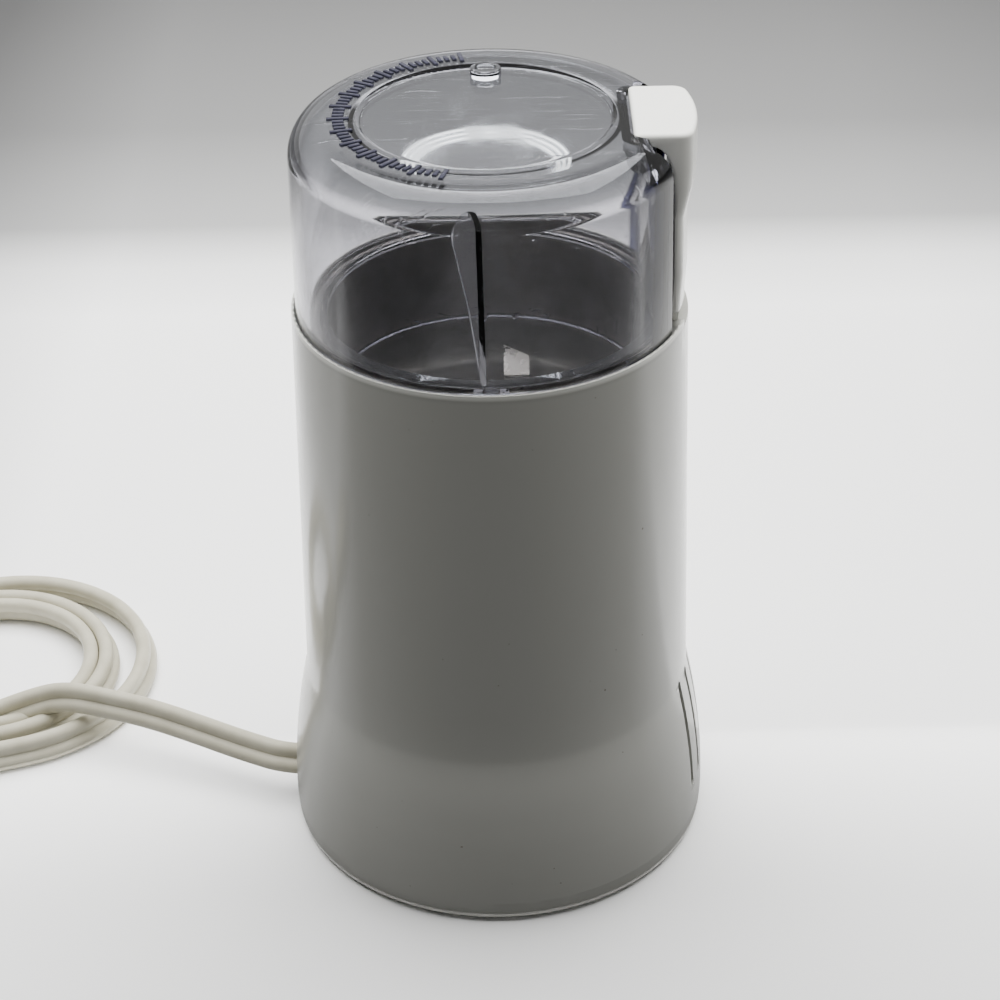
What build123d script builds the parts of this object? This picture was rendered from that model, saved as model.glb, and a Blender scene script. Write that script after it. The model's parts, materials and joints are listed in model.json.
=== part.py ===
"""Electric spice grinder: push-down lid, steel bowl, spinning blade and universal motor.

Millimetres, +Z up, origin at the middle of the footprint on the surface it stands on.
The pusher, the vents and the switch are at the front, -Y. The cord leaves at the back, +Y.
"""

import os
from math import cos, radians, sin, tan

from build123d import *

os.makedirs("parts", exist_ok=True)

# clearances
running = 0.05  # a shaft in its bush, on the radius
slip = 0.15  # hand fits
gap = 0.3  # between parts that move past each other
hair = 0.02  # screws and pins in their holes

# housing
foot_rise = 0.9  # underside of the base cover above the table
cover_rim = 1.4  # height of the base cover's visible edge
rim_top = 134.9
rim_radius = 43.0
barrel_foot = 44.5  # height where the straight barrel turns into the flare
barrel_spread = 1.63  # how much wider the barrel is at its foot than at the rim
flare_mid = 39.5
flare_mid_spread = 0.57
toe_inset = 0.2  # the flare closes in a little below its widest
flare_foot = 5.0
flare_spread = 4.37  # from the barrel's foot out to the flare's widest
housing_wall = 2.0
lip_wall = 0.65
lip_height = 1.5
ledge_thickness = 2.4
shelf_thickness = 2.8
shelf_bore = 22.0
guide_rib = 1.4

# bowl
bowl_inset = 5.1  # from the rim to the inside of the bowl's mouth
bowl_wall = 0.7
bowl_draft = 0.6
bowl_depth = 33.4
bowl_corner = 5.0
flange_width = 2.1
boss_radius = 12.6
boss_rise = 7.0
boss_corner = 2.4
boss_bore = 5.0

# lid
lid_play = 0.2
lid_draft = 0.45
lid_height = 44.7  # above the ledge
lid_shoulder = 7.9
lid_wall = 2.6
lid_inner_corner = 3.5
skirt_play = 0.7
skirt_wall = 1.8
skirt_depth = 21.7
web_thickness = 1.8
dish_margin = 2.3  # between the dish and the pocket
dish_depth = 2.4
top_thickness = 2.4
nub_radius = 3.4
nub_reach = 22.3
nub_height = 0.95
channel_half_width = 12.6
channel_wall = 1.8
channel_corner = 4.0
pocket_depth = 5.5
pocket_corner = 3.4
pocket_round = 1.5
rail_width = 1.4
rail_height = 1.6
fin_bearing = 178.0
fin_skew = 45.0
fin_depth = 8.4
fin_thickness = 1.6
fin_shoulder = 6.5  # from the fin's top down to where it is deepest

# pusher
press_travel = 3.5
cap_overlap = 12.8  # how far the cap reaches in from the rim
cap_overhang = 1.4
cap_side_play = 0.7
cap_thickness = 2.0
cap_proud = 0.3
cap_bracket = 5.0
stem_inset = 3.6
stem_overhang = 0.9
stem_half_width = 11.0
tongue_half_width = 8.4
tongue_reach = 2.0
rib_half_width = 3.0
front_reach = 10.0  # how far front sections and cutters run on past their back face

# plunger and switch
strip_thickness = 1.4
strip_half_angle = 8.0
foot_half_width = 5.0
foot_thickness = 3.0
switch_floor = 44.0
switch_height = 16.0
switch_half_width = 8.0
switch_depth = 9.0
switch_shelf = 2.0
key_half_width = 3.0
key_depth = 5.0
key_stand = 6.0  # how far the key stands out of the switch
key_sunk = 7.0
switch_wall = 1.5
spring_wire = 0.25

# motor
shaft_radius = 2.5
thread_radius = 2.0
upper_leg = 21.9
lower_leg = 22.0
stack_height = 22.0
stack_length = 54.0
stack_depth = 46.0
stack_corner = 7.0
yoke = 4.0
air_gap = 0.6
armature_radius = 14.0
slot_count = 12
slot_width = 1.2
slot_depth = 4.8
slot_root = 1.7
winding_height = 7.0
winding_corner = 2.0
pole_width = 10.0
pole_gap = 6.0
field_height = 8.0
field_thickness = 7.0
commutator_height = 11.0
commutator_radius = 9.0
commutator_lift = 3.0
bolt_radius = 1.6
bolt_x = 22.0
bolt_y = 18.0
bolt_head_radius = 2.9
bolt_head = 2.4
leg_half = 3.4
plate_thickness = 1.8
plate_radius = 34.5
window_width = 7.0  # air windows in both brackets
upper_window = 12.0
lower_window = 20.0
lower_window_y = 13.5
damper_thickness = 0.8
damper_width = 9.0
lower_plate_thickness = 3.0
bush_radius = 5.5
bush_length = 7.0
cup_wall = 2.2
fan_radius = 25.0
fan_blade_height = 4.8
fan_disc = 1.2
fan_blades = 9
fan_blade_length = 15.5
fan_edge = 0.75
fan_hub = 2.2
brush_width = 5.0
brush_height = 6.0
brush_length = 9.0
brush_wall = 1.6
brush_spring_length = 5.5

# blade
blade_thickness = 1.4
blade_lift = 0.8
arm_near = 3.0  # edges of an arm from the centre line
arm_far = 8.9
hub_half = 6.0
arm_root = 9.0
arm_bend = 18.5
arm_tip = 27.6
arm_drop = 3.7
tip_rise = 20.0  # degrees
tip_slant = 3.6
nut_radius = 4.6
nut_height = 3.2

# base
cover_inset = 0.2
cover_thickness = 2.2
spigot_height = 2.0
spigot_wall = 2.0
foot_inset = 11.0  # feet and screws, measured in from the flare
foot_radius = 5.5
foot_depth = 1.0  # sunk into the cover
foot_bearings = (45, 135, 225, 315)
screw_inset = 12.0
screw_bearings = (0, 120, 240)
screw_radius = 1.5
screw_head = 2.8
post_radius = 3.6
post_height = 13.0

# vents
vent_width = 1.8
vent_low = 13.0
vent_high = 42.0
vent_bearings = (-20, -12, -4, 4, 12, 20)

# cord: a flat twin lead that stands on edge
lead_width = 7.5
lead_thickness = 3.8
exit_height = 9.5
lead_play = 0.6  # round the lead in the grommet
clamp_inset = 11.5  # the clamp's outer face, in from the flare
clamp_length = 7.0
clamp_half_width = 8.5
clamp_cap = 1.5
clamp_ear_height = 3.0
clamp_screw_x = 5.6
clamp_screw_radius = 1.3
clamp_screw_head = 2.4
clamp_screw_head_height = 1.6
grommet_wall = 1.8
grommet_flange = 0.5
grommet_length = 3.4
grommet_inset = 0.4
lead_straight = 1.0
lead_route = [
    (6.0, 62.0, 9.4),
    (12.8, 75.6, 10.4),
    (17.2, 86.6, 11.7),
    (20.4, 96.6, 12.3),
    (24.6, 108.2, 12.2),
    (28.4, 118.6, 8.4),
]
coil_centre = (49.0, 131.0)
coil_outer = 41.6
coil_inner_centre = (51.0, 133.0)
coil_inner = 22.5
coil_height = 7.9
coil_rounding = 1.5
tail_route = [
    (8.0, 136.0, 3.9),
    (7.0, 144.0, 4.8),
    (4.3, 151.5, 6.2),
]

# plug, with its cable end at the last point of the tail
plug_length = 30.0
plug_width = 20.0
plug_height = 13.2
plug_neck = 12.0
plug_heading = 109.8  # degrees from +X
prong_width = 6.35
prong_thickness = 1.5
prong_spacing = 12.7
prong_length = 17.5


# heights and radii that follow
barrel_radius = rim_radius + barrel_spread
flare_mid_radius = barrel_radius + flare_mid_spread
flare_radius = barrel_radius + flare_spread
foot_ring = flare_radius - foot_inset
screw_ring = flare_radius - screw_inset
cover_top = foot_rise + cover_thickness
housing_bottom = foot_rise + cover_rim
ledge_top = rim_top - lip_height
ledge_bottom = ledge_top - ledge_thickness
bowl_floor = ledge_top - bowl_depth
shelf_top = bowl_floor - bowl_wall
shelf_bottom = shelf_top - shelf_thickness
boss_top = bowl_floor + boss_rise
bowl_radius = rim_radius - bowl_inset
bowl_flange = bowl_radius + flange_width
neck_radius = bowl_radius + bowl_wall + gap
recess_radius = bowl_flange + slip

lid_radius = rim_radius - lip_wall - lid_play
lid_top_radius = lid_radius - lid_draft
lid_top = ledge_top + lid_height
skirt_radius = bowl_radius - skirt_play
skirt_bottom = ledge_top - skirt_depth
pocket_floor = lid_top - pocket_depth
dish_floor = lid_top - dish_depth

stem_back = rim_radius - stem_inset
stem_front = rim_radius + stem_overhang
channel_floor = stem_back - rail_height - 2 * gap - 1.2
stem_bottom = ledge_top + press_travel + gap
tongue_bottom = ledge_top - tongue_reach
cap_reach = rim_radius - cap_overlap
cap_front = rim_radius + cap_overhang
cap_top = lid_top + cap_proud
cap_bottom = cap_top - cap_thickness
cap_half_width = channel_half_width - cap_side_play
pocket_reach = cap_reach - cap_side_play
dish_radius = pocket_reach - dish_margin
flat_front = neck_radius - slip  # straight front edge of the bowl's flange
tongue_back = flat_front + gap

plate_top = shelf_bottom - damper_thickness
plate_bottom = plate_top - plate_thickness
stack_top = plate_bottom - upper_leg
stack_bottom = stack_top - stack_height
lower_plate_top = stack_bottom - lower_leg
lower_plate_bottom = lower_plate_top - lower_plate_thickness
cup_bottom = lower_plate_top - bush_length - 0.5
cup_top = plate_bottom + bush_length + 2.1
commutator_bottom = lower_plate_top + commutator_lift
commutator_top = commutator_bottom + commutator_height
brush_middle = commutator_bottom + commutator_height / 2
fan_top = cup_bottom - 0.5
fan_bottom = fan_top - fan_blade_height - fan_disc
blade_bottom = boss_top + blade_lift
blade_top = blade_bottom + blade_thickness
bore_radius = armature_radius + air_gap
field_radius = bore_radius + air_gap + field_thickness
bolt_points = [(x, y) for x in (-bolt_x, bolt_x) for y in (-bolt_y, bolt_y)]

hole_width = lead_width + 2 * (slip + grommet_wall)
hole_thickness = lead_thickness + 2 * (lead_play + grommet_wall)
clamp_face = flare_radius - clamp_inset
tube_route = [
    (0.0, clamp_face, exit_height),
    (0.0, flare_radius + lead_straight, exit_height),
    *lead_route,
]
clamp_low = exit_height - lead_width / 2
clamp_middle = clamp_face - clamp_length / 2
clamp_spots = [(-clamp_screw_x, clamp_middle), (clamp_screw_x, clamp_middle)]


def barrel_at(height):
    """Outer radius of the straight barrel at a height."""
    share = (height - barrel_foot) / (rim_top - barrel_foot)
    return barrel_radius + (rim_radius - barrel_radius) * share


strip_outer = barrel_at(ledge_bottom) - housing_wall - gap
slot_front = strip_outer + gap
strip_inner = strip_outer - strip_thickness
switch_front = strip_inner - gap
switch_back = switch_front - switch_depth
key_middle = (switch_front + switch_back) / 2
key_top = switch_floor + switch_height + key_stand
strip_bottom = key_top + gap
strip_half_width = strip_outer * sin(radians(strip_half_angle))


def housing_line(inset, top):
    """Barrel and flare line, moved inwards by inset, from the foot up to the height top."""
    head = (barrel_at(top) - inset, top)
    knee = (barrel_radius - inset, barrel_foot)
    middle = (flare_mid_radius - inset, flare_mid)
    toe = (flare_radius - inset, flare_foot)
    foot = (flare_radius - toe_inset - inset, housing_bottom)
    Line(foot, toe)
    hip = TangentArc(toe, middle, tangent=(0, 1))
    TangentArc(middle, knee, tangent=hip % 1)
    Line(knee, head)
    return foot, head


def front_block(half_width, near, far, bottom, top):
    """A block at the front between two distances from the axis, in the open part."""
    with Locations((0, -(near + far) / 2, (bottom + top) / 2)):
        Box(2 * half_width, far - near, top - bottom)


def front_cut(half_width, near, far, bottom, top):
    with Locations((0, -(near + far) / 2, (bottom + top) / 2)):
        Box(2 * half_width, far - near, top - bottom, mode=Mode.SUBTRACT)


def finish(piece, name):
    piece.label = name
    export_step(piece, f"parts/{name}.step")


# housing: one moulded shell with the lid's ledge, the motor shelf and the switch shelf
with BuildPart() as housing:
    with BuildSketch(Plane.XZ):
        with BuildLine():
            foot, rim = housing_line(0, rim_top)
            inner_foot, under = housing_line(housing_wall, ledge_bottom)
            Polyline(
                rim,
                (rim_radius - lip_wall, rim_top),
                (rim_radius - lip_wall, ledge_top),
                (recess_radius, ledge_top),
                (recess_radius, ledge_top - bowl_wall),
                (neck_radius, ledge_top - bowl_wall),
                (neck_radius, ledge_bottom),
                under,
            )
            Line(inner_foot, foot)
        make_face()
    revolve(axis=Axis.Z)
    with BuildSketch(Plane.XY.offset(shelf_bottom)):
        Circle(barrel_at(shelf_bottom) - housing_wall / 2)
        Circle(shelf_bore, mode=Mode.SUBTRACT)
        with Locations((0, -strip_outer)):
            Rectangle(
                2 * (strip_half_width + gap),
                2 * (strip_thickness + 2 * gap),
                mode=Mode.SUBTRACT,
            )
    extrude(amount=shelf_thickness)
    with BuildSketch(Plane.XY.offset(shelf_bottom)):
        with Locations(*bolt_points):
            Circle(bolt_radius + hair)
    extrude(amount=shelf_thickness - 0.5, mode=Mode.SUBTRACT)
    # room for the pusher's stem in the lip, and for its tongue in the ledge
    front_cut(stem_half_width + gap, stem_back - gap, cap_front + 1, ledge_top, rim_top + 1)
    with BuildSketch(Plane.XY.offset(ledge_bottom)):
        Circle(slot_front)
        with Locations((0, -slot_front)):
            Rectangle(
                2 * (tongue_half_width + gap),
                2 * (slot_front - tongue_back + gap),
                mode=Mode.INTERSECT,
            )
    extrude(amount=ledge_thickness, mode=Mode.SUBTRACT)
    for side in (-1, 1):
        with Locations(
            (
                side * (strip_half_width + gap + guide_rib / 2),
                -(neck_radius + barrel_at(ledge_bottom) - housing_wall) / 2 - 0.3,
                (strip_bottom + shelf_bottom) / 2,
            )
        ):
            Box(guide_rib, housing_wall + 1.4, shelf_bottom - strip_bottom)
    front_block(
        switch_half_width + 2,
        switch_back - 1,
        barrel_radius - housing_wall + 0.5,
        switch_floor - switch_shelf,
        switch_floor,
    )
    for bearing in screw_bearings:
        direction = (cos(radians(bearing)), sin(radians(bearing)))
        middle = (screw_ring + flare_radius - housing_wall) / 2
        with Locations(
            Location(
                (middle * direction[0], middle * direction[1], cover_top + post_height / 2 + 2),
                (0, 0, bearing),
            )
        ):
            Box(flare_radius - housing_wall - screw_ring, 2, post_height - 4)
        with Locations((screw_ring * direction[0], screw_ring * direction[1], cover_top)):
            Cylinder(post_radius, post_height, align=(Align.CENTER, Align.CENTER, Align.MIN))
            Cylinder(
                screw_radius + hair,
                post_height - 2,
                align=(Align.CENTER, Align.CENTER, Align.MIN),
                mode=Mode.SUBTRACT,
            )
    for bearing in vent_bearings:
        outward = (sin(radians(bearing)), -cos(radians(bearing)), 0)
        across = (cos(radians(bearing)), sin(radians(bearing)), 0)
        middle = (
            outward[0] * switch_front,
            outward[1] * switch_front,
            (vent_low + vent_high) / 2,
        )
        with BuildSketch(Plane(origin=middle, x_dir=across, z_dir=outward)):
            SlotOverall(vent_high - vent_low, vent_width, rotation=90)
        extrude(amount=flare_radius - switch_front + 1, mode=Mode.SUBTRACT)
    with BuildSketch(Plane.XZ.offset(-flare_radius - 1)):
        with Locations((0, exit_height)):
            SlotOverall(hole_width + 2 * slip, hole_thickness + 2 * slip, rotation=90)
    extrude(amount=housing_wall * 3, mode=Mode.SUBTRACT)
finish(housing.part, "housing")

# base cover: a disc with a spigot that locates inside the housing
cover_radius = flare_radius - toe_inset - cover_inset
spigot_radius = flare_radius - toe_inset - housing_wall - slip
with BuildPart() as base_cover:
    with BuildSketch(Plane.XY.offset(foot_rise)):
        Circle(cover_radius)
    extrude(amount=cover_rim)
    fillet(base_cover.edges().group_by(Axis.Z)[0], 0.5)
    with BuildSketch(Plane.XY.offset(foot_rise + cover_rim)):
        Circle(spigot_radius)
    extrude(amount=cover_thickness - cover_rim)
    with BuildSketch(Plane.XY.offset(cover_top)):
        Circle(spigot_radius)
        Circle(spigot_radius - spigot_wall, mode=Mode.SUBTRACT)
        with Locations((0, spigot_radius)):
            Rectangle(2 * clamp_half_width, 4 * spigot_wall, mode=Mode.SUBTRACT)
    extrude(amount=spigot_height)
    with BuildSketch(Plane.XY.offset(foot_rise)):
        with PolarLocations(foot_ring, len(foot_bearings), start_angle=foot_bearings[0]):
            Circle(foot_radius + slip)
    extrude(amount=foot_depth, mode=Mode.SUBTRACT)
    with BuildSketch(Plane.XY.offset(foot_rise)):
        with PolarLocations(foot_ring, len(foot_bearings), start_angle=foot_bearings[0]):
            Circle(foot_radius / 2)
        with PolarLocations(screw_ring, len(screw_bearings), start_angle=screw_bearings[0]):
            Circle(screw_radius + slip)
    extrude(amount=cover_thickness, mode=Mode.SUBTRACT)
    with BuildSketch(Plane.XY.offset(foot_rise)):
        with PolarLocations(screw_ring, len(screw_bearings), start_angle=screw_bearings[0]):
            Circle(screw_head + slip)
    extrude(amount=cover_thickness / 2, mode=Mode.SUBTRACT)
    with BuildSketch(Plane.XY.offset(cover_top)):
        with Locations((0, clamp_middle)):
            Rectangle(2 * clamp_half_width, clamp_length)
        with Locations(*clamp_spots):
            Circle(clamp_screw_radius + hair, mode=Mode.SUBTRACT)
    extrude(amount=clamp_low - cover_top)
finish(base_cover.part, "base_cover")

# rubber feet, each with a stem that plugs into the cover
with BuildPart() as feet:
    for bearing in foot_bearings:
        centre = Location(
            (foot_ring * cos(radians(bearing)), foot_ring * sin(radians(bearing)), 0)
        )
        with Locations(centre):
            Cylinder(
                foot_radius,
                foot_rise + foot_depth,
                align=(Align.CENTER, Align.CENTER, Align.MIN),
            )
            Cylinder(
                foot_radius / 2 - hair,
                cover_top,
                align=(Align.CENTER, Align.CENTER, Align.MIN),
            )
finish(feet.part, "rubber_feet")

with BuildPart() as base_screws:
    for bearing in screw_bearings:
        spot = (screw_ring * cos(radians(bearing)), screw_ring * sin(radians(bearing)))
        with Locations((spot[0], spot[1], foot_rise + 0.2)):
            Cylinder(
                screw_head,
                cover_thickness / 2 - 0.2,
                align=(Align.CENTER, Align.CENTER, Align.MIN),
            )
            Cylinder(screw_radius, post_height, align=(Align.CENTER, Align.CENTER, Align.MIN))
            Box(
                2 * screw_radius,
                0.6,
                0.6,
                align=(Align.CENTER, Align.CENTER, Align.MIN),
                mode=Mode.SUBTRACT,
            )
finish(base_screws.part, "base_screws")

# bowl: one pressed sheet, from the boss out to the flange
with BuildPart() as bowl:
    with BuildSketch(Plane.XZ):
        with BuildLine():
            FilletPolyline(
                (boss_bore, boss_top),
                (boss_radius, boss_top),
                (boss_radius + 0.6, bowl_floor),
                (bowl_radius - bowl_draft, bowl_floor),
                (bowl_radius, ledge_top),
                (bowl_flange, ledge_top),
                radius=[boss_corner, 1.0, bowl_corner, 0.8],
            )
            offset(amount=bowl_wall, side=Side.RIGHT)
        make_face()
    revolve(axis=Axis.Z)
    front_cut(bowl_flange, flat_front, bowl_flange + 1, ledge_top - 2, ledge_top + 1)
finish(bowl.part, "bowl")



def channel_form(growth):
    """The pusher's channel with the cap's pocket at its top, its inner walls moved in by growth."""
    back = -channel_floor + growth
    reach = -pocket_reach + growth
    floor = pocket_floor - growth
    far = -rim_radius - front_reach
    low = skirt_bottom - 1
    high = lid_top + 1
    half_width = channel_half_width + growth
    with BuildPart() as form:
        with BuildSketch(Plane.YZ):
            with BuildLine():
                FilletPolyline(
                    (far, low),
                    (back, low),
                    (back, floor),
                    (reach, floor),
                    (reach, high),
                    (far, high),
                    radius=[slip, channel_corner - growth, pocket_round + growth, slip],
                )
                Line((far, high), (far, low))
            make_face()
        extrude(amount=half_width, both=True)
        with BuildSketch(Plane.XY.offset(low)):
            with Locations((0, (reach + far) / 2)):
                RectangleRounded(2 * half_width, reach - far, pocket_corner + growth)
        extrude(amount=high - low, mode=Mode.INTERSECT)
    return form.part


channel_room = channel_form(0)
channel_block = channel_form(channel_wall)

# lid: the space inside it first, with the channel's walls left standing
with BuildPart() as lid_space:
    with BuildSketch(Plane.XZ) as space_profile:
        with BuildLine():
            Polyline(
                (0, skirt_bottom - 2),
                (skirt_radius - skirt_wall, skirt_bottom - 2),
                (skirt_radius - skirt_wall, ledge_top + web_thickness),
                (lid_radius - lid_wall, ledge_top + web_thickness),
                (lid_top_radius - lid_wall, lid_top - top_thickness),
                (dish_radius + top_thickness, lid_top - top_thickness),
                (dish_radius + top_thickness, dish_floor - top_thickness),
                (0, dish_floor - top_thickness),
                close=True,
            )
        make_face()
        fillet(
            space_profile.vertices().sort_by_distance(
                (lid_top_radius - lid_wall, lid_top - top_thickness)
            )[0],
            lid_inner_corner,
        )
    revolve(axis=Axis.Z)
    add(channel_block, mode=Mode.SUBTRACT)

with BuildPart() as lid:
    with BuildSketch(Plane.XZ) as lid_profile:
        with BuildLine():
            Polyline(
                (0, skirt_bottom),
                (skirt_radius, skirt_bottom),
                (skirt_radius, ledge_top),
                (lid_radius, ledge_top),
                (lid_top_radius, lid_top),
                (dish_radius, lid_top),
                (dish_radius - 0.3, dish_floor),
                (0, dish_floor),
                close=True,
            )
        make_face()
        fillet(
            lid_profile.vertices().sort_by_distance((lid_top_radius, lid_top))[0],
            lid_shoulder,
        )
    revolve(axis=Axis.Z)
    add(channel_room, mode=Mode.SUBTRACT)
    add(lid_space.part, mode=Mode.SUBTRACT)
    for side in (-1, 1):
        with Locations(
            (
                side * (rib_half_width + slip + rail_width / 2),
                -channel_floor - rail_height / 2,
                (ledge_top + pocket_floor - channel_corner) / 2,
            )
        ):
            Box(rail_width, rail_height, pocket_floor - channel_corner - ledge_top)
    with Locations((nub_reach, 0, dish_floor - 0.5)):
        Cylinder(nub_radius, nub_height + 0.5, align=(Align.CENTER, Align.CENTER, Align.MIN))
    # the baffle fin: a knife-shaped rib on the inner wall, skewed from the radius
    bearing = radians(fin_bearing)
    inward = radians(fin_bearing + 180 - fin_skew)
    root = lid_radius - lid_wall
    fin_plane = Plane(
        origin=(root * cos(bearing), root * sin(bearing), 0),
        x_dir=(cos(inward), sin(inward), 0),
        z_dir=(sin(inward), -cos(inward), 0),
    )
    fin_foot = ledge_top + web_thickness + 1
    fin_head = lid_top - top_thickness - 1.9
    with BuildSketch(fin_plane):
        with BuildLine():
            edge = Spline(
                (0.3, fin_foot),
                (fin_depth * 0.42, (fin_foot + fin_head) / 2 - 3),
                (fin_depth, fin_head - fin_shoulder),
                (fin_depth * 0.55, fin_head - 0.6),
                (-0.6, fin_head),
            )
            Polyline(edge @ 1, (-1.6, fin_head), (-1.6, fin_foot), edge @ 0)
        make_face()
    extrude(amount=fin_thickness / 2, both=True)
finish(lid.part, "lid")

# pusher: cap, stem, tongue and guide rib in one moulding
with BuildPart() as pusher:
    with BuildSketch(Plane.XY.offset(cap_bottom)):
        Circle(cap_front)
        with Locations((0, -(cap_reach + cap_front) / 2 - 2)):
            Rectangle(2 * cap_half_width, cap_front - cap_reach + 4, mode=Mode.INTERSECT)
    extrude(amount=cap_thickness)
    fillet(pusher.edges().filter_by(Axis.Z).group_by(Axis.Y)[-1], 1.2)
    fillet(pusher.edges().filter_by(Axis.Z).group_by(Axis.Y)[0], 3.0)
    fillet(pusher.edges().group_by(Axis.Z)[-1], 0.8)
    with BuildSketch(Plane.XY.offset(stem_bottom)):
        Circle(stem_front)
        with Locations((0, -stem_back - front_reach / 2)):
            Rectangle(2 * stem_half_width, front_reach, mode=Mode.INTERSECT)
    extrude(amount=cap_bottom + 0.5 - stem_bottom)
    with BuildSketch(Plane.YZ):
        with BuildLine():
            RadiusArc(
                (-stem_back, cap_bottom - cap_bracket),
                (-stem_back + cap_bracket, cap_bottom),
                cap_bracket,
            )
            Polyline(
                (-stem_back + cap_bracket, cap_bottom),
                (-stem_back + cap_bracket, cap_bottom + 0.5),
                (-stem_back - 1, cap_bottom + 0.5),
                (-stem_back - 1, cap_bottom - cap_bracket),
                (-stem_back, cap_bottom - cap_bracket),
            )
        make_face()
    extrude(amount=stem_half_width, both=True)
    with BuildSketch(Plane.XY.offset(tongue_bottom)):
        Circle(strip_outer)
        with Locations((0, -tongue_back - front_reach / 2)):
            Rectangle(2 * tongue_half_width, front_reach, mode=Mode.INTERSECT)
    extrude(amount=stem_bottom + 3 - tongue_bottom)
    front_block(
        rib_half_width,
        channel_floor + gap,
        stem_back + 1,
        stem_bottom + 2,
        pocket_floor - channel_corner - press_travel,
    )
finish(pusher.part, "pusher")

# plunger: a curved strip between bowl and wall, with a foot over the switch key
with BuildPart() as plunger:
    with BuildSketch(Plane.XY.offset(strip_bottom)):
        Circle(strip_outer)
        Circle(strip_inner, mode=Mode.SUBTRACT)
        with Locations((0, -strip_outer)):
            Rectangle(2 * strip_half_width, strip_outer, mode=Mode.INTERSECT)
    extrude(amount=tongue_bottom - gap - strip_bottom)
    front_block(
        foot_half_width,
        key_middle - key_depth / 2,
        strip_inner + strip_thickness / 2,
        strip_bottom,
        strip_bottom + foot_thickness,
    )
finish(plunger.part, "plunger")

# switch
with BuildPart() as switch_body:
    front_block(
        switch_half_width,
        switch_back,
        switch_front,
        switch_floor,
        switch_floor + switch_height,
    )
    front_cut(
        key_half_width + slip,
        key_middle - key_depth / 2 - slip,
        key_middle + key_depth / 2 + slip,
        switch_floor + switch_wall,
        switch_floor + switch_height + 1,
    )
finish(switch_body.part, "switch_body")

key_bottom = key_top - key_stand - key_sunk
with BuildPart() as switch_key:
    front_block(
        key_half_width,
        key_middle - key_depth / 2,
        key_middle + key_depth / 2,
        key_bottom,
        key_top,
    )
    fillet(switch_key.edges().group_by(Axis.Z)[-1], 0.6)
finish(switch_key.part, "switch_key")


def coil_spring(radius, wire, length, turns):
    """A helical compression spring as one swept wire, standing on the origin."""
    rise = length - 2 * wire
    with BuildPart() as spring:
        with BuildLine() as path:
            Helix(pitch=rise / turns, height=rise, radius=radius, center=(0, 0, wire))
        with BuildSketch(Plane(origin=path.line @ 0, z_dir=path.line % 0)):
            RegularPolygon(wire, 6)
        sweep()
    return spring.part


spring_seat = switch_floor + switch_wall
switch_spring = coil_spring(key_depth / 2 - 0.7, spring_wire, key_bottom - spring_seat, 4)
finish(switch_spring.moved(Location((0, -key_middle, spring_seat))), "switch_spring")

# stator
window_far = stack_length / 2 - yoke
window_near = bore_radius + 1.9
window_half = bolt_y - bolt_radius - 2.4
with BuildPart() as stator_core:
    with BuildSketch(Plane.XY.offset(stack_bottom)):
        RectangleRounded(stack_length, stack_depth, stack_corner)
        Circle(bore_radius, mode=Mode.SUBTRACT)
        for side in (-1, 1):
            with Locations((side * (window_near + window_far) / 2, 0)):
                Rectangle(window_far - window_near, 2 * window_half, mode=Mode.SUBTRACT)
            with Locations((side * (window_near - pole_gap / 3), 0)):
                Rectangle(pole_gap, pole_width, mode=Mode.SUBTRACT)
        with Locations(*bolt_points):
            Circle(bolt_radius + hair, mode=Mode.SUBTRACT)
    extrude(amount=stack_height)
finish(stator_core.part, "stator_core")

for name, turn in (("field_coil_front", 0), ("field_coil_back", 180)):
    with BuildPart(Plane.XY.rotated((0, 0, turn))) as field_coil:
        for low in (stack_bottom - field_height, stack_top + gap):
            with BuildSketch(Plane.XY.rotated((0, 0, turn)).offset(low)):
                Circle(field_radius)
                Circle(bore_radius + air_gap, mode=Mode.SUBTRACT)
                with Locations((0, -field_radius - gap * 3)):
                    Rectangle(3 * field_radius, 2 * field_radius, mode=Mode.INTERSECT)
            extrude(amount=field_height - gap)
        for side in (-1, 1):
            with Locations(
                (
                    side * (window_near + window_far) / 2,
                    -window_half / 2 - gap,
                    (stack_bottom + stack_top) / 2,
                )
            ):
                Box(window_far - window_near - 2 * gap, window_half - 2 * gap, stack_height + 4)
    finish(field_coil.part, name)

# armature
with BuildPart() as armature_core:
    with BuildSketch(Plane.XY.offset(stack_bottom)):
        Circle(armature_radius)
        Circle(shaft_radius + hair, mode=Mode.SUBTRACT)
        with PolarLocations(armature_radius - slot_depth, slot_count):
            Circle(slot_root, mode=Mode.SUBTRACT)
        with PolarLocations(armature_radius - slot_depth / 2 + slip, slot_count):
            Rectangle(slot_depth + 2 * slip, slot_width, mode=Mode.SUBTRACT)
    extrude(amount=stack_height)
finish(armature_core.part, "armature_core")

for name, low in (
    ("armature_winding_upper", stack_top),
    ("armature_winding_lower", stack_bottom - winding_height),
):
    with BuildPart() as winding:
        with BuildSketch(Plane.XY.offset(low)):
            Circle(armature_radius - 1)
            Circle(shaft_radius + 1.5, mode=Mode.SUBTRACT)
        extrude(amount=winding_height)
        fillet(winding.edges().filter_by(GeomType.CIRCLE), winding_corner)
    finish(winding.part, name)

with BuildPart() as commutator:
    with BuildSketch(Plane.XY.offset(commutator_bottom)):
        Circle(commutator_radius)
        Circle(shaft_radius + hair, mode=Mode.SUBTRACT)
        with PolarLocations(commutator_radius, slot_count):
            Rectangle(1.6, 0.5, mode=Mode.SUBTRACT)
    extrude(amount=commutator_height)
    with BuildSketch(Plane.XY.offset(commutator_top - 1.4)):
        Circle(commutator_radius + 1.5)
        Circle(shaft_radius + hair, mode=Mode.SUBTRACT)
    extrude(amount=1.4)
finish(commutator.part, "commutator")

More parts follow.
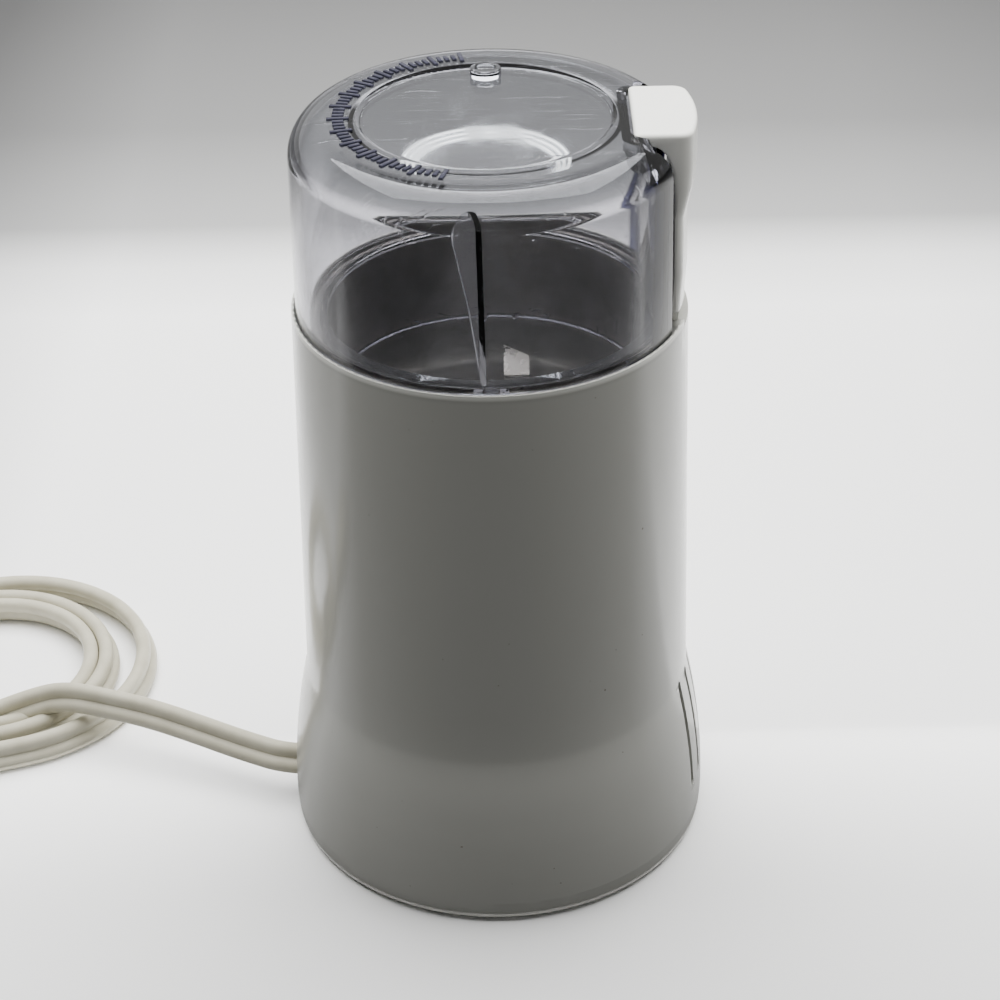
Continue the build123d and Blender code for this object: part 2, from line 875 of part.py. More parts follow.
shaft_bottom = fan_bottom - 1
with BuildPart() as motor_shaft:
    with Locations((0, 0, shaft_bottom)):
        Cylinder(
            shaft_radius,
            blade_bottom - shaft_bottom,
            align=(Align.CENTER, Align.CENTER, Align.MIN),
        )
    with Locations((0, 0, blade_bottom)):
        Cylinder(
            thread_radius,
            blade_thickness + nut_height + 0.6,
            align=(Align.CENTER, Align.CENTER, Align.MIN),
        )
    chamfer(motor_shaft.edges().group_by(Axis.Z)[-1], 0.4)
finish(motor_shaft.part, "motor_shaft")

with BuildPart() as cooling_fan:
    with BuildSketch(Plane.XY.offset(fan_bottom)):
        Circle(fan_radius)
    extrude(amount=fan_disc)
    with BuildSketch(Plane.XY.offset(fan_bottom + fan_disc)):
        with PolarLocations(fan_radius - fan_edge - fan_blade_length / 2, fan_blades):
            Rectangle(fan_blade_length, fan_disc, rotation=24)
        Circle(shaft_radius + fan_hub)
    extrude(amount=fan_blade_height)
    with BuildSketch(Plane.XY.offset(fan_bottom)):
        Circle(shaft_radius + hair)
    extrude(amount=fan_disc + fan_blade_height, mode=Mode.SUBTRACT)
finish(cooling_fan.part, "cooling_fan")

for name, low in (
    ("upper_bearing", cup_top - bush_length),
    ("lower_bearing", cup_bottom),
):
    with BuildPart() as bush:
        with BuildSketch(Plane.XY.offset(low)):
            Circle(bush_radius)
            Circle(shaft_radius + running, mode=Mode.SUBTRACT)
        extrude(amount=bush_length)
    finish(bush.part, name)

# brackets
with BuildPart() as upper_bracket:
    with BuildSketch(Plane.XY.offset(plate_bottom)):
        Circle(plate_radius)
        with Locations((-bolt_x, 0), (bolt_x, 0)):
            SlotOverall(upper_window, window_width, rotation=90, mode=Mode.SUBTRACT)
    extrude(amount=plate_thickness)
    with BuildSketch(Plane.XY.offset(plate_bottom)):
        Circle(bush_radius + cup_wall)
    extrude(amount=cup_top - plate_bottom)
    with BuildSketch(Plane.XY.offset(stack_top)):
        with Locations(*bolt_points):
            RectangleRounded(2 * leg_half, 2 * leg_half, 1)
    extrude(amount=upper_leg)
    with BuildSketch(Plane.XY.offset(stack_top)):
        Circle(bush_radius + hair)
        with Locations(*bolt_points):
            Circle(bolt_radius + hair)
    extrude(amount=cup_top - stack_top, mode=Mode.SUBTRACT)
finish(upper_bracket.part, "upper_bracket")

with BuildPart() as motor_damper:
    with BuildSketch(Plane.XY.offset(plate_top)):
        Circle(plate_radius - 0.5)
        Circle(plate_radius - 0.5 - damper_width, mode=Mode.SUBTRACT)
        with Locations(*bolt_points):
            Circle(bolt_radius + hair, mode=Mode.SUBTRACT)
    extrude(amount=damper_thickness)
finish(motor_damper.part, "motor_damper")

brush_near = commutator_radius + running
brush_far = brush_near + brush_length
guide_near = commutator_radius + 1.5 + 1
guide_far = brush_far + brush_spring_length + 2
with BuildPart() as lower_bracket:
    with BuildSketch(Plane.XY.offset(lower_plate_bottom)):
        RectangleRounded(stack_length, stack_depth, stack_corner)
        with Locations((0, -lower_window_y), (0, lower_window_y)):
            SlotOverall(lower_window, window_width, mode=Mode.SUBTRACT)
    extrude(amount=lower_plate_thickness)
    with BuildSketch(Plane.XY.offset(cup_bottom)):
        Circle(bush_radius + cup_wall)
    extrude(amount=lower_plate_top - cup_bottom)
    with BuildSketch(Plane.XY.offset(lower_plate_top)):
        with Locations(*bolt_points):
            RectangleRounded(2 * leg_half, 2 * leg_half, 1)
    extrude(amount=lower_leg)
    for side in (-1, 1):
        with Locations(
            (
                side * (guide_near + guide_far) / 2,
                0,
                (lower_plate_top + brush_middle + brush_height / 2 + brush_wall) / 2,
            )
        ):
            Box(
                guide_far - guide_near,
                brush_width + 2 * brush_wall,
                brush_middle + brush_height / 2 + brush_wall - lower_plate_top,
            )
        with Locations((side * (guide_near + guide_far) / 2, 0, brush_middle)):
            Box(
                guide_far - guide_near + 2,
                brush_width + 2 * slip,
                brush_height + 2 * slip,
                mode=Mode.SUBTRACT,
            )
    with BuildSketch(Plane.XY.offset(cup_bottom)):
        Circle(bush_radius + hair)
        with Locations(*bolt_points):
            Circle(bolt_radius + hair)
    extrude(amount=stack_bottom - cup_bottom, mode=Mode.SUBTRACT)
finish(lower_bracket.part, "lower_bracket")

with BuildPart() as motor_bolts:
    for x, y in bolt_points:
        with Locations((x, y, lower_plate_bottom - bolt_head)):
            Cylinder(bolt_head_radius, bolt_head, align=(Align.CENTER, Align.CENTER, Align.MIN))
        with Locations((x, y, lower_plate_bottom)):
            Cylinder(
                bolt_radius,
                shelf_bottom + shelf_thickness - 0.8 - lower_plate_bottom,
                align=(Align.CENTER, Align.CENTER, Align.MIN),
            )
finish(motor_bolts.part, "motor_bolts")

# brushes, their springs and caps
brush_springs = []
for name, side in (("carbon_brush_left", -1), ("carbon_brush_right", 1)):
    with BuildPart() as brush:
        with Locations((side * (brush_near + brush_far) / 2, 0, brush_middle)):
            Box(brush_length, brush_width, brush_height)
    finish(brush.part, name)
    spring = coil_spring(brush_width / 2 - 0.5, spring_wire, brush_spring_length, 3)
    seat = Location((side * brush_far, 0, brush_middle), (0, side * 90, 0))
    brush_springs.append(spring.moved(seat))
finish(Compound(children=brush_springs), "brush_springs")

with BuildPart() as brush_caps:
    for side in (-1, 1):
        with Locations((side * (guide_far - 1), 0, brush_middle)):
            Box(2, brush_width, brush_height)
finish(brush_caps.part, "brush_caps")

# shaft seal, snapped into the bowl's bore
with BuildPart() as shaft_seal:
    with BuildSketch(Plane.XZ):
        with BuildLine():
            Polyline(
                (shaft_radius + running, boss_top - 2.4),
                (boss_bore + 1.2, boss_top - 2.4),
                (boss_bore + 1.2, boss_top - bowl_wall),
                (boss_bore - hair, boss_top - bowl_wall),
                (boss_bore - hair, boss_top),
                (boss_bore + 0.9, boss_top),
                (boss_bore + 0.3, boss_top + 0.5),
                (shaft_radius + running, boss_top + 0.5),
                close=True,
            )
        make_face()
    revolve(axis=Axis.Z)
finish(shaft_seal.part, "shaft_seal")

# blade: a stamped plate with two offset arms, bent down and then up at the tips
tip_slope = tan(radians(tip_rise))
tip_length = arm_tip - arm_bend
with BuildPart() as blade:
    with BuildSketch(Plane.XY.offset(blade_bottom)):
        RectangleRounded(2 * hub_half, 2 * arm_far, 3)
    extrude(amount=blade_thickness)
    for turn in (0, 180):
        across = -1 if turn == 0 else 1
        with BuildSketch(Plane.XZ.offset(-across * arm_near)):
            with BuildLine():
                Polyline(
                    (-across * (hub_half - 2), blade_bottom),
                    (-across * arm_root, blade_bottom),
                    (-across * arm_bend, blade_bottom - arm_drop),
                    (-across * arm_tip, blade_bottom - arm_drop + tip_length * tip_slope),
                    (-across * arm_tip, blade_top - arm_drop + tip_length * tip_slope),
                    (-across * arm_bend, blade_top - arm_drop),
                    (-across * arm_root, blade_top),
                    (-across * (hub_half - 2), blade_top),
                    close=True,
                )
            make_face()
        extrude(amount=-across * (arm_far - arm_near))
        with BuildSketch(Plane.XY.offset(blade_bottom - arm_drop - 1)):
            with BuildLine():
                Polyline(
                    (-across * arm_tip, across * (arm_near - 0.5)),
                    (-across * (arm_tip - tip_slant), across * (arm_far + 0.1)),
                    (-across * (arm_tip + 2), across * (arm_far + 0.1)),
                    (-across * (arm_tip + 2), across * (arm_near - 0.5)),
                    close=True,
                )
            make_face()
        extrude(amount=arm_drop + 4, mode=Mode.SUBTRACT)
    with BuildSketch(Plane.XY.offset(blade_bottom)):
        Circle(thread_radius + hair)
    extrude(amount=blade_thickness, mode=Mode.SUBTRACT)
finish(blade.part, "blade")

with BuildPart() as blade_nut:
    with BuildSketch(Plane.XY.offset(blade_top)):
        RegularPolygon(nut_radius, 6)
        Circle(thread_radius + hair, mode=Mode.SUBTRACT)
    extrude(amount=nut_height)
finish(blade_nut.part, "blade_nut")

# cord: grommet, clamp, lead, coil, tail and plug
grommet_face = flare_radius - grommet_inset
flange_face = flare_radius - housing_wall - grommet_inset
with BuildPart() as cord_grommet:
    with BuildSketch(Plane.XZ.offset(-grommet_face)):
        with Locations((0, exit_height)):
            SlotOverall(hole_width, hole_thickness, rotation=90)
    extrude(amount=grommet_length)
    with BuildSketch(Plane.XZ.offset(-flange_face)):
        with Locations((0, exit_height)):
            SlotOverall(
                hole_width + 2 * grommet_flange,
                hole_thickness + 2 * grommet_flange,
                rotation=90,
            )
    extrude(amount=grommet_length - housing_wall)
    with BuildSketch(Plane.XZ.offset(-grommet_face)):
        with Locations((0, exit_height)):
            SlotOverall(lead_width + 2 * slip, lead_thickness + 2 * lead_play, rotation=90)
    extrude(amount=grommet_length, mode=Mode.SUBTRACT)
finish(cord_grommet.part, "cord_grommet")

# clamp: a saddle that holds the lead's end down on the cover, with two screws
clamp_top = exit_height + lead_width / 2 + clamp_cap
clamp_ear = clamp_low + clamp_ear_height
with BuildPart() as cord_clamp:
    with BuildSketch(Plane.XY.offset(clamp_low)):
        with Locations((0, clamp_middle)):
            Rectangle(2 * clamp_half_width, clamp_length)
    extrude(amount=lead_width + clamp_cap)
    fillet(cord_clamp.edges().filter_by(Axis.Z), 1)
    for side in (-1, 1):
        with Locations((side * clamp_half_width, clamp_middle, clamp_top)):
            Box(
                2 * (clamp_half_width - clamp_screw_x + clamp_screw_head + slip),
                clamp_length + 1,
                2 * (clamp_top - clamp_ear),
                mode=Mode.SUBTRACT,
            )
    with BuildSketch(Plane.XY.offset(clamp_low)):
        with Locations(*clamp_spots):
            Circle(clamp_screw_radius + hair)
    extrude(amount=lead_width, mode=Mode.SUBTRACT)
finish(cord_clamp.part, "cord_clamp")

with BuildPart() as clamp_screws:
    with BuildSketch(Plane.XY.offset(cover_top)):
        with Locations(*clamp_spots):
            Circle(clamp_screw_radius)
    extrude(amount=clamp_ear - cover_top)
    with BuildSketch(Plane.XY.offset(clamp_ear)):
        with Locations(*clamp_spots):
            Circle(clamp_screw_head)
    extrude(amount=clamp_screw_head_height)
finish(clamp_screws.part, "clamp_screws")


def bend_radii(route):
    """Arc radius at each inner point: 0.45 of the shorter run over the tangent of half the turn."""
    radii = []
    for before, here, after in zip(route, route[1:], route[2:]):
        into = Vector(*here) - Vector(*before)
        out = Vector(*after) - Vector(*here)
        half_turn = radians(into.get_angle(out)) / 2
        radii.append(0.45 * min(into.length, out.length) / tan(half_turn))
    return radii


def lead_tube(route, name):
    """The flat lead along a route, standing on edge."""
    radii = bend_radii(route)
    print(name, "radii", [round(radius, 1) for radius in radii])
    start = Vector(*route[1]) - Vector(*route[0])
    with BuildPart() as tube:
        with BuildLine() as path:
            FilletPolyline(*route, radius=radii)
        level = Vector(start.Y, -start.X, 0)
        with BuildSketch(Plane(origin=route[0], x_dir=level, z_dir=start)):
            RectangleRounded(lead_thickness, lead_width, lead_thickness * 0.49)
        sweep()
    section = tube.faces().sort_by_distance(route[0])[0].area
    run = sum(edge.length for edge in path.edges())
    print(name, "length", run, "volume over section", tube.part.volume / section)
    return tube.part


finish(lead_tube(tube_route, "power_cord"), "power_cord")
finish(lead_tube(tail_route, "cord_tail"), "cord_tail")

with BuildPart() as cord_coil:
    with BuildSketch():
        with Locations(coil_centre):
            Circle(coil_outer)
        with Locations(coil_inner_centre):
            Circle(coil_inner, mode=Mode.SUBTRACT)
    extrude(amount=coil_height)
    fillet(cord_coil.edges(), coil_rounding)
finish(cord_coil.part, "cord_coil")

plug_end = tail_route[-1]
plug_plane = Plane(
    origin=(plug_end[0], plug_end[1], plug_height / 2),
    x_dir=(sin(radians(plug_heading)), -cos(radians(plug_heading)), 0),
    z_dir=(cos(radians(plug_heading)), sin(radians(plug_heading)), 0),
)
with BuildPart() as plug_body:
    with BuildSketch(plug_plane):
        RectangleRounded(plug_neck, lead_width + 2.4, 3)
    with BuildSketch(plug_plane.offset(plug_length * 0.45)):
        RectangleRounded(plug_width - 1, plug_height - 0.4, 4)
    loft()
    with BuildSketch(plug_plane.offset(plug_length * 0.45)):
        RectangleRounded(plug_width, plug_height, 4)
    extrude(amount=plug_length * 0.55)
finish(plug_body.part, "plug_body")

with BuildPart() as plug_prongs:
    with BuildSketch(plug_plane.offset(plug_length)):
        with Locations((-prong_spacing / 2, 0), (prong_spacing / 2, 0)):
            Rectangle(prong_thickness, prong_width)
    extrude(amount=prong_length)
finish(plug_prongs.part, "plug_prongs")
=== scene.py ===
import json
from math import atan2, cos, pi, radians, sin, tan

import bmesh
import bpy
from mathutils import Matrix, Vector


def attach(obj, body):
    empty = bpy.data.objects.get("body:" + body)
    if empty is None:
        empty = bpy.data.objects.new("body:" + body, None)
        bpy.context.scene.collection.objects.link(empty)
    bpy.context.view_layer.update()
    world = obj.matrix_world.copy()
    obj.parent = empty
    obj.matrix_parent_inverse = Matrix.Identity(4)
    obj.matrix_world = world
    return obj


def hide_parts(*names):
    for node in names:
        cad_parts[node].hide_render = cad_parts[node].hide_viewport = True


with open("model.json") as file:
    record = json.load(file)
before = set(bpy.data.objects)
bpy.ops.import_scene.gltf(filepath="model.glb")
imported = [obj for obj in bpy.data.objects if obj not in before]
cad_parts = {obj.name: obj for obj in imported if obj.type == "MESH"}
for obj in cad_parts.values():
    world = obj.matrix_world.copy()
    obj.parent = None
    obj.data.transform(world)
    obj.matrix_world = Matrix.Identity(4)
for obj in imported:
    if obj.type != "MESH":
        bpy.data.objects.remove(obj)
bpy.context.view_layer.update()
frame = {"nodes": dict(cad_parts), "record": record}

mm = 0.001
endGap = mm / 100  # how near its place an outline's end is looked for
spunGap = mm / 200  # doubles merged after a spin
copiedGap = mm / 500  # doubles merged in a copy of a CAD mesh


# tools for picking, drawing and cutting

def deselectAll():
    if bpy.context.object and bpy.context.object.mode != "OBJECT":
        bpy.ops.object.mode_set(mode="OBJECT")
    bpy.ops.object.select_all(action="DESELECT")


def pick(piece):
    deselectAll()
    piece.select_set(True)
    bpy.context.view_layer.objects.active = piece


def selectVertices(piece, test):  # in edit mode
    bpy.ops.mesh.select_mode(type="VERT")
    bpy.ops.mesh.select_all(action="DESELECT")
    mesh = bmesh.from_edit_mesh(piece.data)
    for vertex in mesh.verts:
        vertex.select = test(vertex.co)
    mesh.select_flush(True)
    bmesh.update_edit_mesh(piece.data)


def selectFaces(piece, test):  # in edit mode, by normal
    bpy.ops.mesh.select_mode(type="FACE")
    bpy.ops.mesh.select_all(action="DESELECT")
    mesh = bmesh.from_edit_mesh(piece.data)
    for face in mesh.faces:
        if test(face.normal):
            face.select = True
    bmesh.update_edit_mesh(piece.data)


def inMetres(points):
    return [Vector(point) * mm for point in points]


def roundedLine(corners, steps=8):  # corners are across, up and radius
    line = []
    count = len(corners)
    for index, (across, up, radius) in enumerate(corners):
        here = Vector((across, up))
        if not radius:
            line.append(here)
            continue
        before = Vector(corners[index - 1][:2]) - here
        after = Vector(corners[(index + 1) % count][:2]) - here
        turn = pi - before.angle(after)
        reach = radius * tan(turn / 2)
        start = here + before.normalized() * reach
        end = here + after.normalized() * reach
        middle = here + (before.normalized() + after.normalized()).normalized() * radius / cos(turn / 2)
        first, last = start - middle, end - middle
        sweep = first.angle_signed(last)
        for step in range(steps + 1):
            angle = -sweep * step / steps
            line.append(middle + Matrix.Rotation(angle, 2) @ first)
    return line


def drawOutline(name, points, closed):
    deselectAll()
    bpy.ops.mesh.primitive_plane_add(size=mm)
    piece = bpy.context.object
    piece.name = name
    bpy.ops.object.mode_set(mode="EDIT")
    bpy.ops.mesh.select_mode(type="VERT")
    bpy.ops.mesh.select_all(action="SELECT")
    bpy.ops.mesh.merge(type="CENTER")
    bpy.ops.transform.translate(value=points[0])
    for here, after in zip(points, points[1:]):
        bpy.ops.mesh.extrude_region_move(TRANSFORM_OT_translate={"value": after - here})
    if closed:
        ends = (points[0], points[-1])
        selectVertices(piece, lambda spot: min((spot - end).length for end in ends) < endGap)
        bpy.ops.mesh.edge_face_add()
    return piece


def spinSolid(name, outline, steps):  # an open outline that starts and ends on the axis
    points = [Vector((across, 0, up)) for across, up in outline]
    piece = drawOutline(name, points, False)
    bpy.ops.mesh.select_all(action="SELECT")
    bpy.ops.mesh.spin(steps=steps, angle=2 * pi, center=(0, 0, 0), axis=(0, 0, 1))
    bpy.ops.mesh.select_all(action="SELECT")
    bpy.ops.mesh.remove_doubles(threshold=spunGap)
    bpy.ops.mesh.normals_make_consistent(inside=False)
    bpy.ops.object.mode_set(mode="OBJECT")
    return piece


def pushedSolid(name, points, push):  # a closed outline, filled and pushed straight
    piece = drawOutline(name, points, True)
    bpy.ops.mesh.select_all(action="SELECT")
    bpy.ops.mesh.edge_face_add()
    bpy.ops.mesh.extrude_region_move(TRANSFORM_OT_translate={"value": push})
    bpy.ops.mesh.select_all(action="SELECT")
    bpy.ops.mesh.normals_make_consistent(inside=False)
    bpy.ops.object.mode_set(mode="OBJECT")
    return piece


def combine(piece, other, operation):
    pick(piece)
    cut = piece.modifiers.new("cut", "BOOLEAN")
    cut.operation = operation
    cut.solver = "EXACT"
    cut.object = other
    bpy.ops.object.modifier_apply(modifier=cut.name)
    bpy.data.objects.remove(other)


def smoothShade(piece, angle):
    pick(piece)
    bpy.ops.object.shade_smooth_by_angle(angle=radians(angle))


def give(piece, finish, body):
    piece.data.materials.clear()
    piece.data.materials.append(finish)
    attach(piece, body)


def smoothCopy(node, body, slot, angle=32):
    source = frame["nodes"][node]
    piece = source.copy()
    piece.data = source.data.copy()
    piece.name = "smooth_" + node
    piece.parent = None
    bpy.context.collection.objects.link(piece)
    pick(piece)
    bpy.ops.object.mode_set(mode="EDIT")
    bpy.ops.mesh.select_all(action="SELECT")
    bpy.ops.mesh.remove_doubles(threshold=copiedGap)
    bpy.ops.object.mode_set(mode="OBJECT")
    smoothShade(piece, angle)
    give(piece, finishes[slot], body)
    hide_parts(node)
    return piece


# camera

cameraPlace = {
    "at": (-0.48924, -0.001467, 0.39086),
    "down": 32.164,
    "roll": -1.042,
    "lens": 91.35,
    "sensor": 36,
    "nearest": 0.01,
}


def placeCamera():
    deselectAll()
    bpy.ops.object.camera_add(location=cameraPlace["at"])
    camera = bpy.context.object
    camera.name = "camera"
    turn = Matrix.Rotation(radians(-90), 4, "Z") @ Matrix.Rotation(radians(90 - cameraPlace["down"]), 4, "X")
    turn = turn @ Matrix.Rotation(radians(cameraPlace["roll"]), 4, "Z")
    camera.rotation_euler = turn.to_euler()
    camera.data.lens = cameraPlace["lens"]
    camera.data.sensor_width = cameraPlace["sensor"]
    camera.data.clip_start = cameraPlace["nearest"]
    bpy.context.scene.camera = camera


placeCamera()
print("camera placed")


# tools for finishes

def wire(tree, source, target):
    tree.links.new(source, target)


def newMaterial(name):
    finish = bpy.data.materials.new(name)
    finish.use_nodes = True
    tree = finish.node_tree
    return finish, tree, tree.nodes["Principled BSDF"]


def axes(tree, kind="Object"):
    place = tree.nodes.new("ShaderNodeTexCoord")
    split = tree.nodes.new("ShaderNodeSeparateXYZ")
    wire(tree, place.outputs[kind], split.inputs["Vector"])
    return split.outputs


def patternPlace(tree, stretch=(1, 1, 1), turn=(0, 0, 0)):
    place = tree.nodes.new("ShaderNodeTexCoord")
    mapping = tree.nodes.new("ShaderNodeMapping")
    mapping.inputs["Scale"].default_value = stretch
    mapping.inputs["Rotation"].default_value = turn
    wire(tree, place.outputs["Object"], mapping.inputs["Vector"])
    return mapping.outputs["Vector"]


def noise(tree, size, detail=3, stretch=(1, 1, 1), distortion=0.0, turn=(0, 0, 0)):
    node = tree.nodes.new("ShaderNodeTexNoise")
    node.inputs["Scale"].default_value = 1 / size
    node.inputs["Detail"].default_value = detail
    node.inputs["Distortion"].default_value = distortion
    wire(tree, patternPlace(tree, stretch, turn), node.inputs["Vector"])
    return node.outputs[0]


def ramp(tree, source, stops):
    node = tree.nodes.new("ShaderNodeValToRGB")
    elements = node.color_ramp.elements
    while len(elements) < len(stops):
        elements.new(0.5)
    for element, (position, colour) in zip(elements, stops):
        element.position = position
        if isinstance(colour, (int, float)):
            colour = (colour, colour, colour)
        element.color = (*colour, 1)
    wire(tree, source, node.inputs["Fac"])
    return node.outputs["Color"]


def mixColour(tree, factor, low, high, blend="MIX"):
    node = tree.nodes.new("ShaderNodeMix")
    node.data_type = "RGBA"
    node.blend_type = blend
    for value, socket in ((factor, node.inputs[0]), (low, node.inputs[6]), (high, node.inputs[7])):
        if isinstance(value, bpy.types.NodeSocket):
            wire(tree, value, socket)
        elif isinstance(value, (int, float)):
            socket.default_value = value
        else:
            socket.default_value = (*value, 1)
    return node.outputs[2]


def calculate(tree, operation, first, second=0.0):
    node = tree.nodes.new("ShaderNodeMath")
    node.operation = operation
    for value, socket in ((first, node.inputs[0]), (second, node.inputs[1])):
        if isinstance(value, bpy.types.NodeSocket):
            wire(tree, value, socket)
        else:
            socket.default_value = value
    return node.outputs[0]


def bump(tree, height, distance, strength=1.0):
    node = tree.nodes.new("ShaderNodeBump")
    node.inputs["Distance"].default_value = distance
    node.inputs["Strength"].default_value = strength
    wire(tree, height, node.inputs["Height"])
    return node.outputs["Normal"]


pattern = {
    "ior": 1.5,
    "toneDetail": 4,
    "toneStops": (0.3, 0.7),
    "glossSize": 0.6,  # of the patch
    "glossDetail": 5,
    "glossDistortion": 0.4,
    "glossStops": (0.35, 0.7),
    "grainDetail": 3,
}


def newFinish(name, look):
    finish, tree, shader = newMaterial(name)
    shader.inputs["Metallic"].default_value = look.get("metal", 0)
    shader.inputs["IOR"].default_value = pattern["ior"]
    tone = noise(tree, look["patch"], pattern["toneDetail"])
    low, high = pattern["toneStops"]
    colour = ramp(tree, tone, ((low, look["dark"]), (high, look["light"])))
    wire(tree, colour, shader.inputs["Base Color"])
    size = look["patch"] * pattern["glossSize"]
    gloss = noise(tree, size, pattern["glossDetail"], distortion=pattern["glossDistortion"])
    gloss = ramp(tree, gloss, tuple(zip(pattern["glossStops"], look["roughness"])))
    wire(tree, gloss, shader.inputs["Roughness"])
    grain = noise(tree, look["grain"], pattern["grainDetail"], look.get("stretch", (1, 1, 1)))
    wire(tree, bump(tree, grain, look["relief"]), shader.inputs["Normal"])
    return finish, tree, shader, colour


# finishes that newFinish makes alone; patch and grain are sizes and relief is a depth, in metres

cordLook = dict(
    light=(0.50, 0.475, 0.375), dark=(0.43, 0.405, 0.31), roughness=(0.32, 0.45),
    patch=0.006, grain=0.0008, relief=0.00002)
plainLooks = {
    "pusher_plastic": dict(
        light=(0.93, 0.93, 0.87), dark=(0.90, 0.90, 0.84), roughness=(0.18, 0.26),
        patch=0.02, grain=0.0009, relief=0.000004),
    "blade_steel": dict(
        light=(0.24, 0.23, 0.21), dark=(0.15, 0.14, 0.12), roughness=(0.2, 0.34), metal=1,
        patch=0.006, grain=0.0004, stretch=(0.1, 1, 1), relief=0.000015),
    "cord_vinyl": cordLook,
    "plug_vinyl": cordLook,
    "lid_ticks": dict(
        light=(0.045, 0.045, 0.065), dark=(0.025, 0.025, 0.04), roughness=(0.12, 0.25),
        patch=0.002, grain=0.0005, relief=0.000005),
    "cover_plastic": dict(
        light=(0.50, 0.495, 0.465), dark=(0.46, 0.455, 0.425), roughness=(0.3, 0.42),
        patch=0.02, grain=0.0006, relief=0.00001),
    "foot_rubber": dict(
        light=(0.020, 0.020, 0.020), dark=(0.010, 0.010, 0.010), roughness=(0.6, 0.8),
        patch=0.004, grain=0.0004, relief=0.00003),
    "screw_steel": dict(
        light=(0.52, 0.52, 0.53), dark=(0.40, 0.40, 0.41), roughness=(0.25, 0.4), metal=1,
        patch=0.002, grain=0.0003, relief=0.00001),
    "seal_rubber": dict(
        light=(0.018, 0.017, 0.016), dark=(0.008, 0.008, 0.008), roughness=(0.4, 0.6),
        patch=0.003, grain=0.0004, relief=0.00002),
    "switch_plastic": dict(
        light=(0.022, 0.022, 0.024), dark=(0.014, 0.014, 0.015), roughness=(0.35, 0.5),
        patch=0.004, grain=0.0005, relief=0.00002),
    "spring_steel": dict(
        light=(0.50, 0.50, 0.51), dark=(0.38, 0.38, 0.39), roughness=(0.2, 0.3), metal=1,
        patch=0.002, grain=0.0003, relief=0.000005),
    "core_iron": dict(
        light=(0.10, 0.10, 0.105), dark=(0.05, 0.05, 0.053), roughness=(0.35, 0.5), metal=1,
        patch=0.01, grain=0.0006, stretch=(0.02, 0.02, 1), relief=0.00005),
    "winding_copper": dict(
        light=(0.50, 0.16, 0.05), dark=(0.32, 0.09, 0.03), roughness=(0.25, 0.4), metal=0.8,
        patch=0.004, grain=0.0004, stretch=(0.1, 0.1, 1), relief=0.00012),
    "commutator_copper": dict(
        light=(0.58, 0.24, 0.10), dark=(0.36, 0.14, 0.06), roughness=(0.2, 0.35), metal=1,
        patch=0.004, grain=0.0004, stretch=(0.05, 0.05, 1), relief=0.00002),
    "bearing_bronze": dict(
        light=(0.42, 0.25, 0.09), dark=(0.30, 0.17, 0.06), roughness=(0.3, 0.45), metal=1,
        patch=0.003, grain=0.0003, relief=0.00001),
    "shaft_steel": dict(
        light=(0.56, 0.56, 0.57), dark=(0.46, 0.46, 0.47), roughness=(0.15, 0.25), metal=1,
        patch=0.01, grain=0.0004, stretch=(1, 1, 0.05), relief=0.000004),
    "bracket_nylon": dict(
        light=(0.026, 0.026, 0.028), dark=(0.018, 0.018, 0.020), roughness=(0.45, 0.6),
        patch=0.006, grain=0.0006, relief=0.00003),
    "fan_nylon": dict(
        light=(0.52, 0.50, 0.43), dark=(0.46, 0.44, 0.37), roughness=(0.35, 0.5),
        patch=0.01, grain=0.0006, relief=0.00001),
    "brush_carbon": dict(
        light=(0.010, 0.010, 0.010), dark=(0.005, 0.005, 0.005), roughness=(0.5, 0.7),
        patch=0.002, grain=0.0003, relief=0.00002),
    "damper_rubber": dict(
        light=(0.022, 0.022, 0.022), dark=(0.014, 0.014, 0.014), roughness=(0.6, 0.8),
        patch=0.004, grain=0.0005, relief=0.00003),
    "prong_brass": dict(
        light=(0.58, 0.50, 0.32), dark=(0.48, 0.41, 0.26), roughness=(0.18, 0.3), metal=1,
        patch=0.004, grain=0.0003, stretch=(1, 1, 0.2), relief=0.000005),
}
finishes = {slot: newFinish(slot, look)[0] for slot, look in plainLooks.items()}


# housing finish: rare specks, a painted highlight on the rim's lip over a thin line of painted shade at the rim

rampHeight = 0.2  # metres that a ramp by height covers, from the floor up
housingLook = dict(
    light=(0.455, 0.455, 0.420), dark=(0.440, 0.440, 0.405), roughness=(0.13, 0.2),
    patch=0.05, grain=0.0014, relief=0.000004)
housingWearAndRimLight = {
    "speckNoise": dict(size=0.0016, detail=2),
    "speckStops": ((0.765, 0.0), (0.80, 1.0)),
    "speck": (0.20, 0.18, 0.14),
    # painted shade: a thin dark line just under the rim's lip
    "rimShadeStops": ((0.6675, 0.0), (0.6690, 0.5), (0.6705, 0.0)),
    "rimShade": (0.16, 0.155, 0.14),
    # painted highlight: the rim's lip and what stands above it made lighter
    "rimHighlightStops": ((0.6705, 0.0), (0.6715, 0.9)),
    "lip": (0.80, 0.80, 0.74),
}


def makeHousingFinish():
    finish, tree, shader, colour = newFinish("housing_plastic", housingLook)
    wearAndLight = housingWearAndRimLight
    specks = ramp(tree, noise(tree, **wearAndLight["speckNoise"]), wearAndLight["speckStops"])
    colour = mixColour(tree, specks, colour, wearAndLight["speck"])
    height = calculate(tree, "MULTIPLY", axes(tree)["Z"], 1 / rampHeight)
    # painted shade and painted highlight at the rim, by height
    colour = mixColour(tree, ramp(tree, height, wearAndLight["rimShadeStops"]), colour, wearAndLight["rimShade"])
    colour = mixColour(tree, ramp(tree, height, wearAndLight["rimHighlightStops"]), colour, wearAndLight["lip"])
    wire(tree, colour, shader.inputs["Base Color"])
    return finish


finishes["housing_plastic"] = makeHousingFinish()
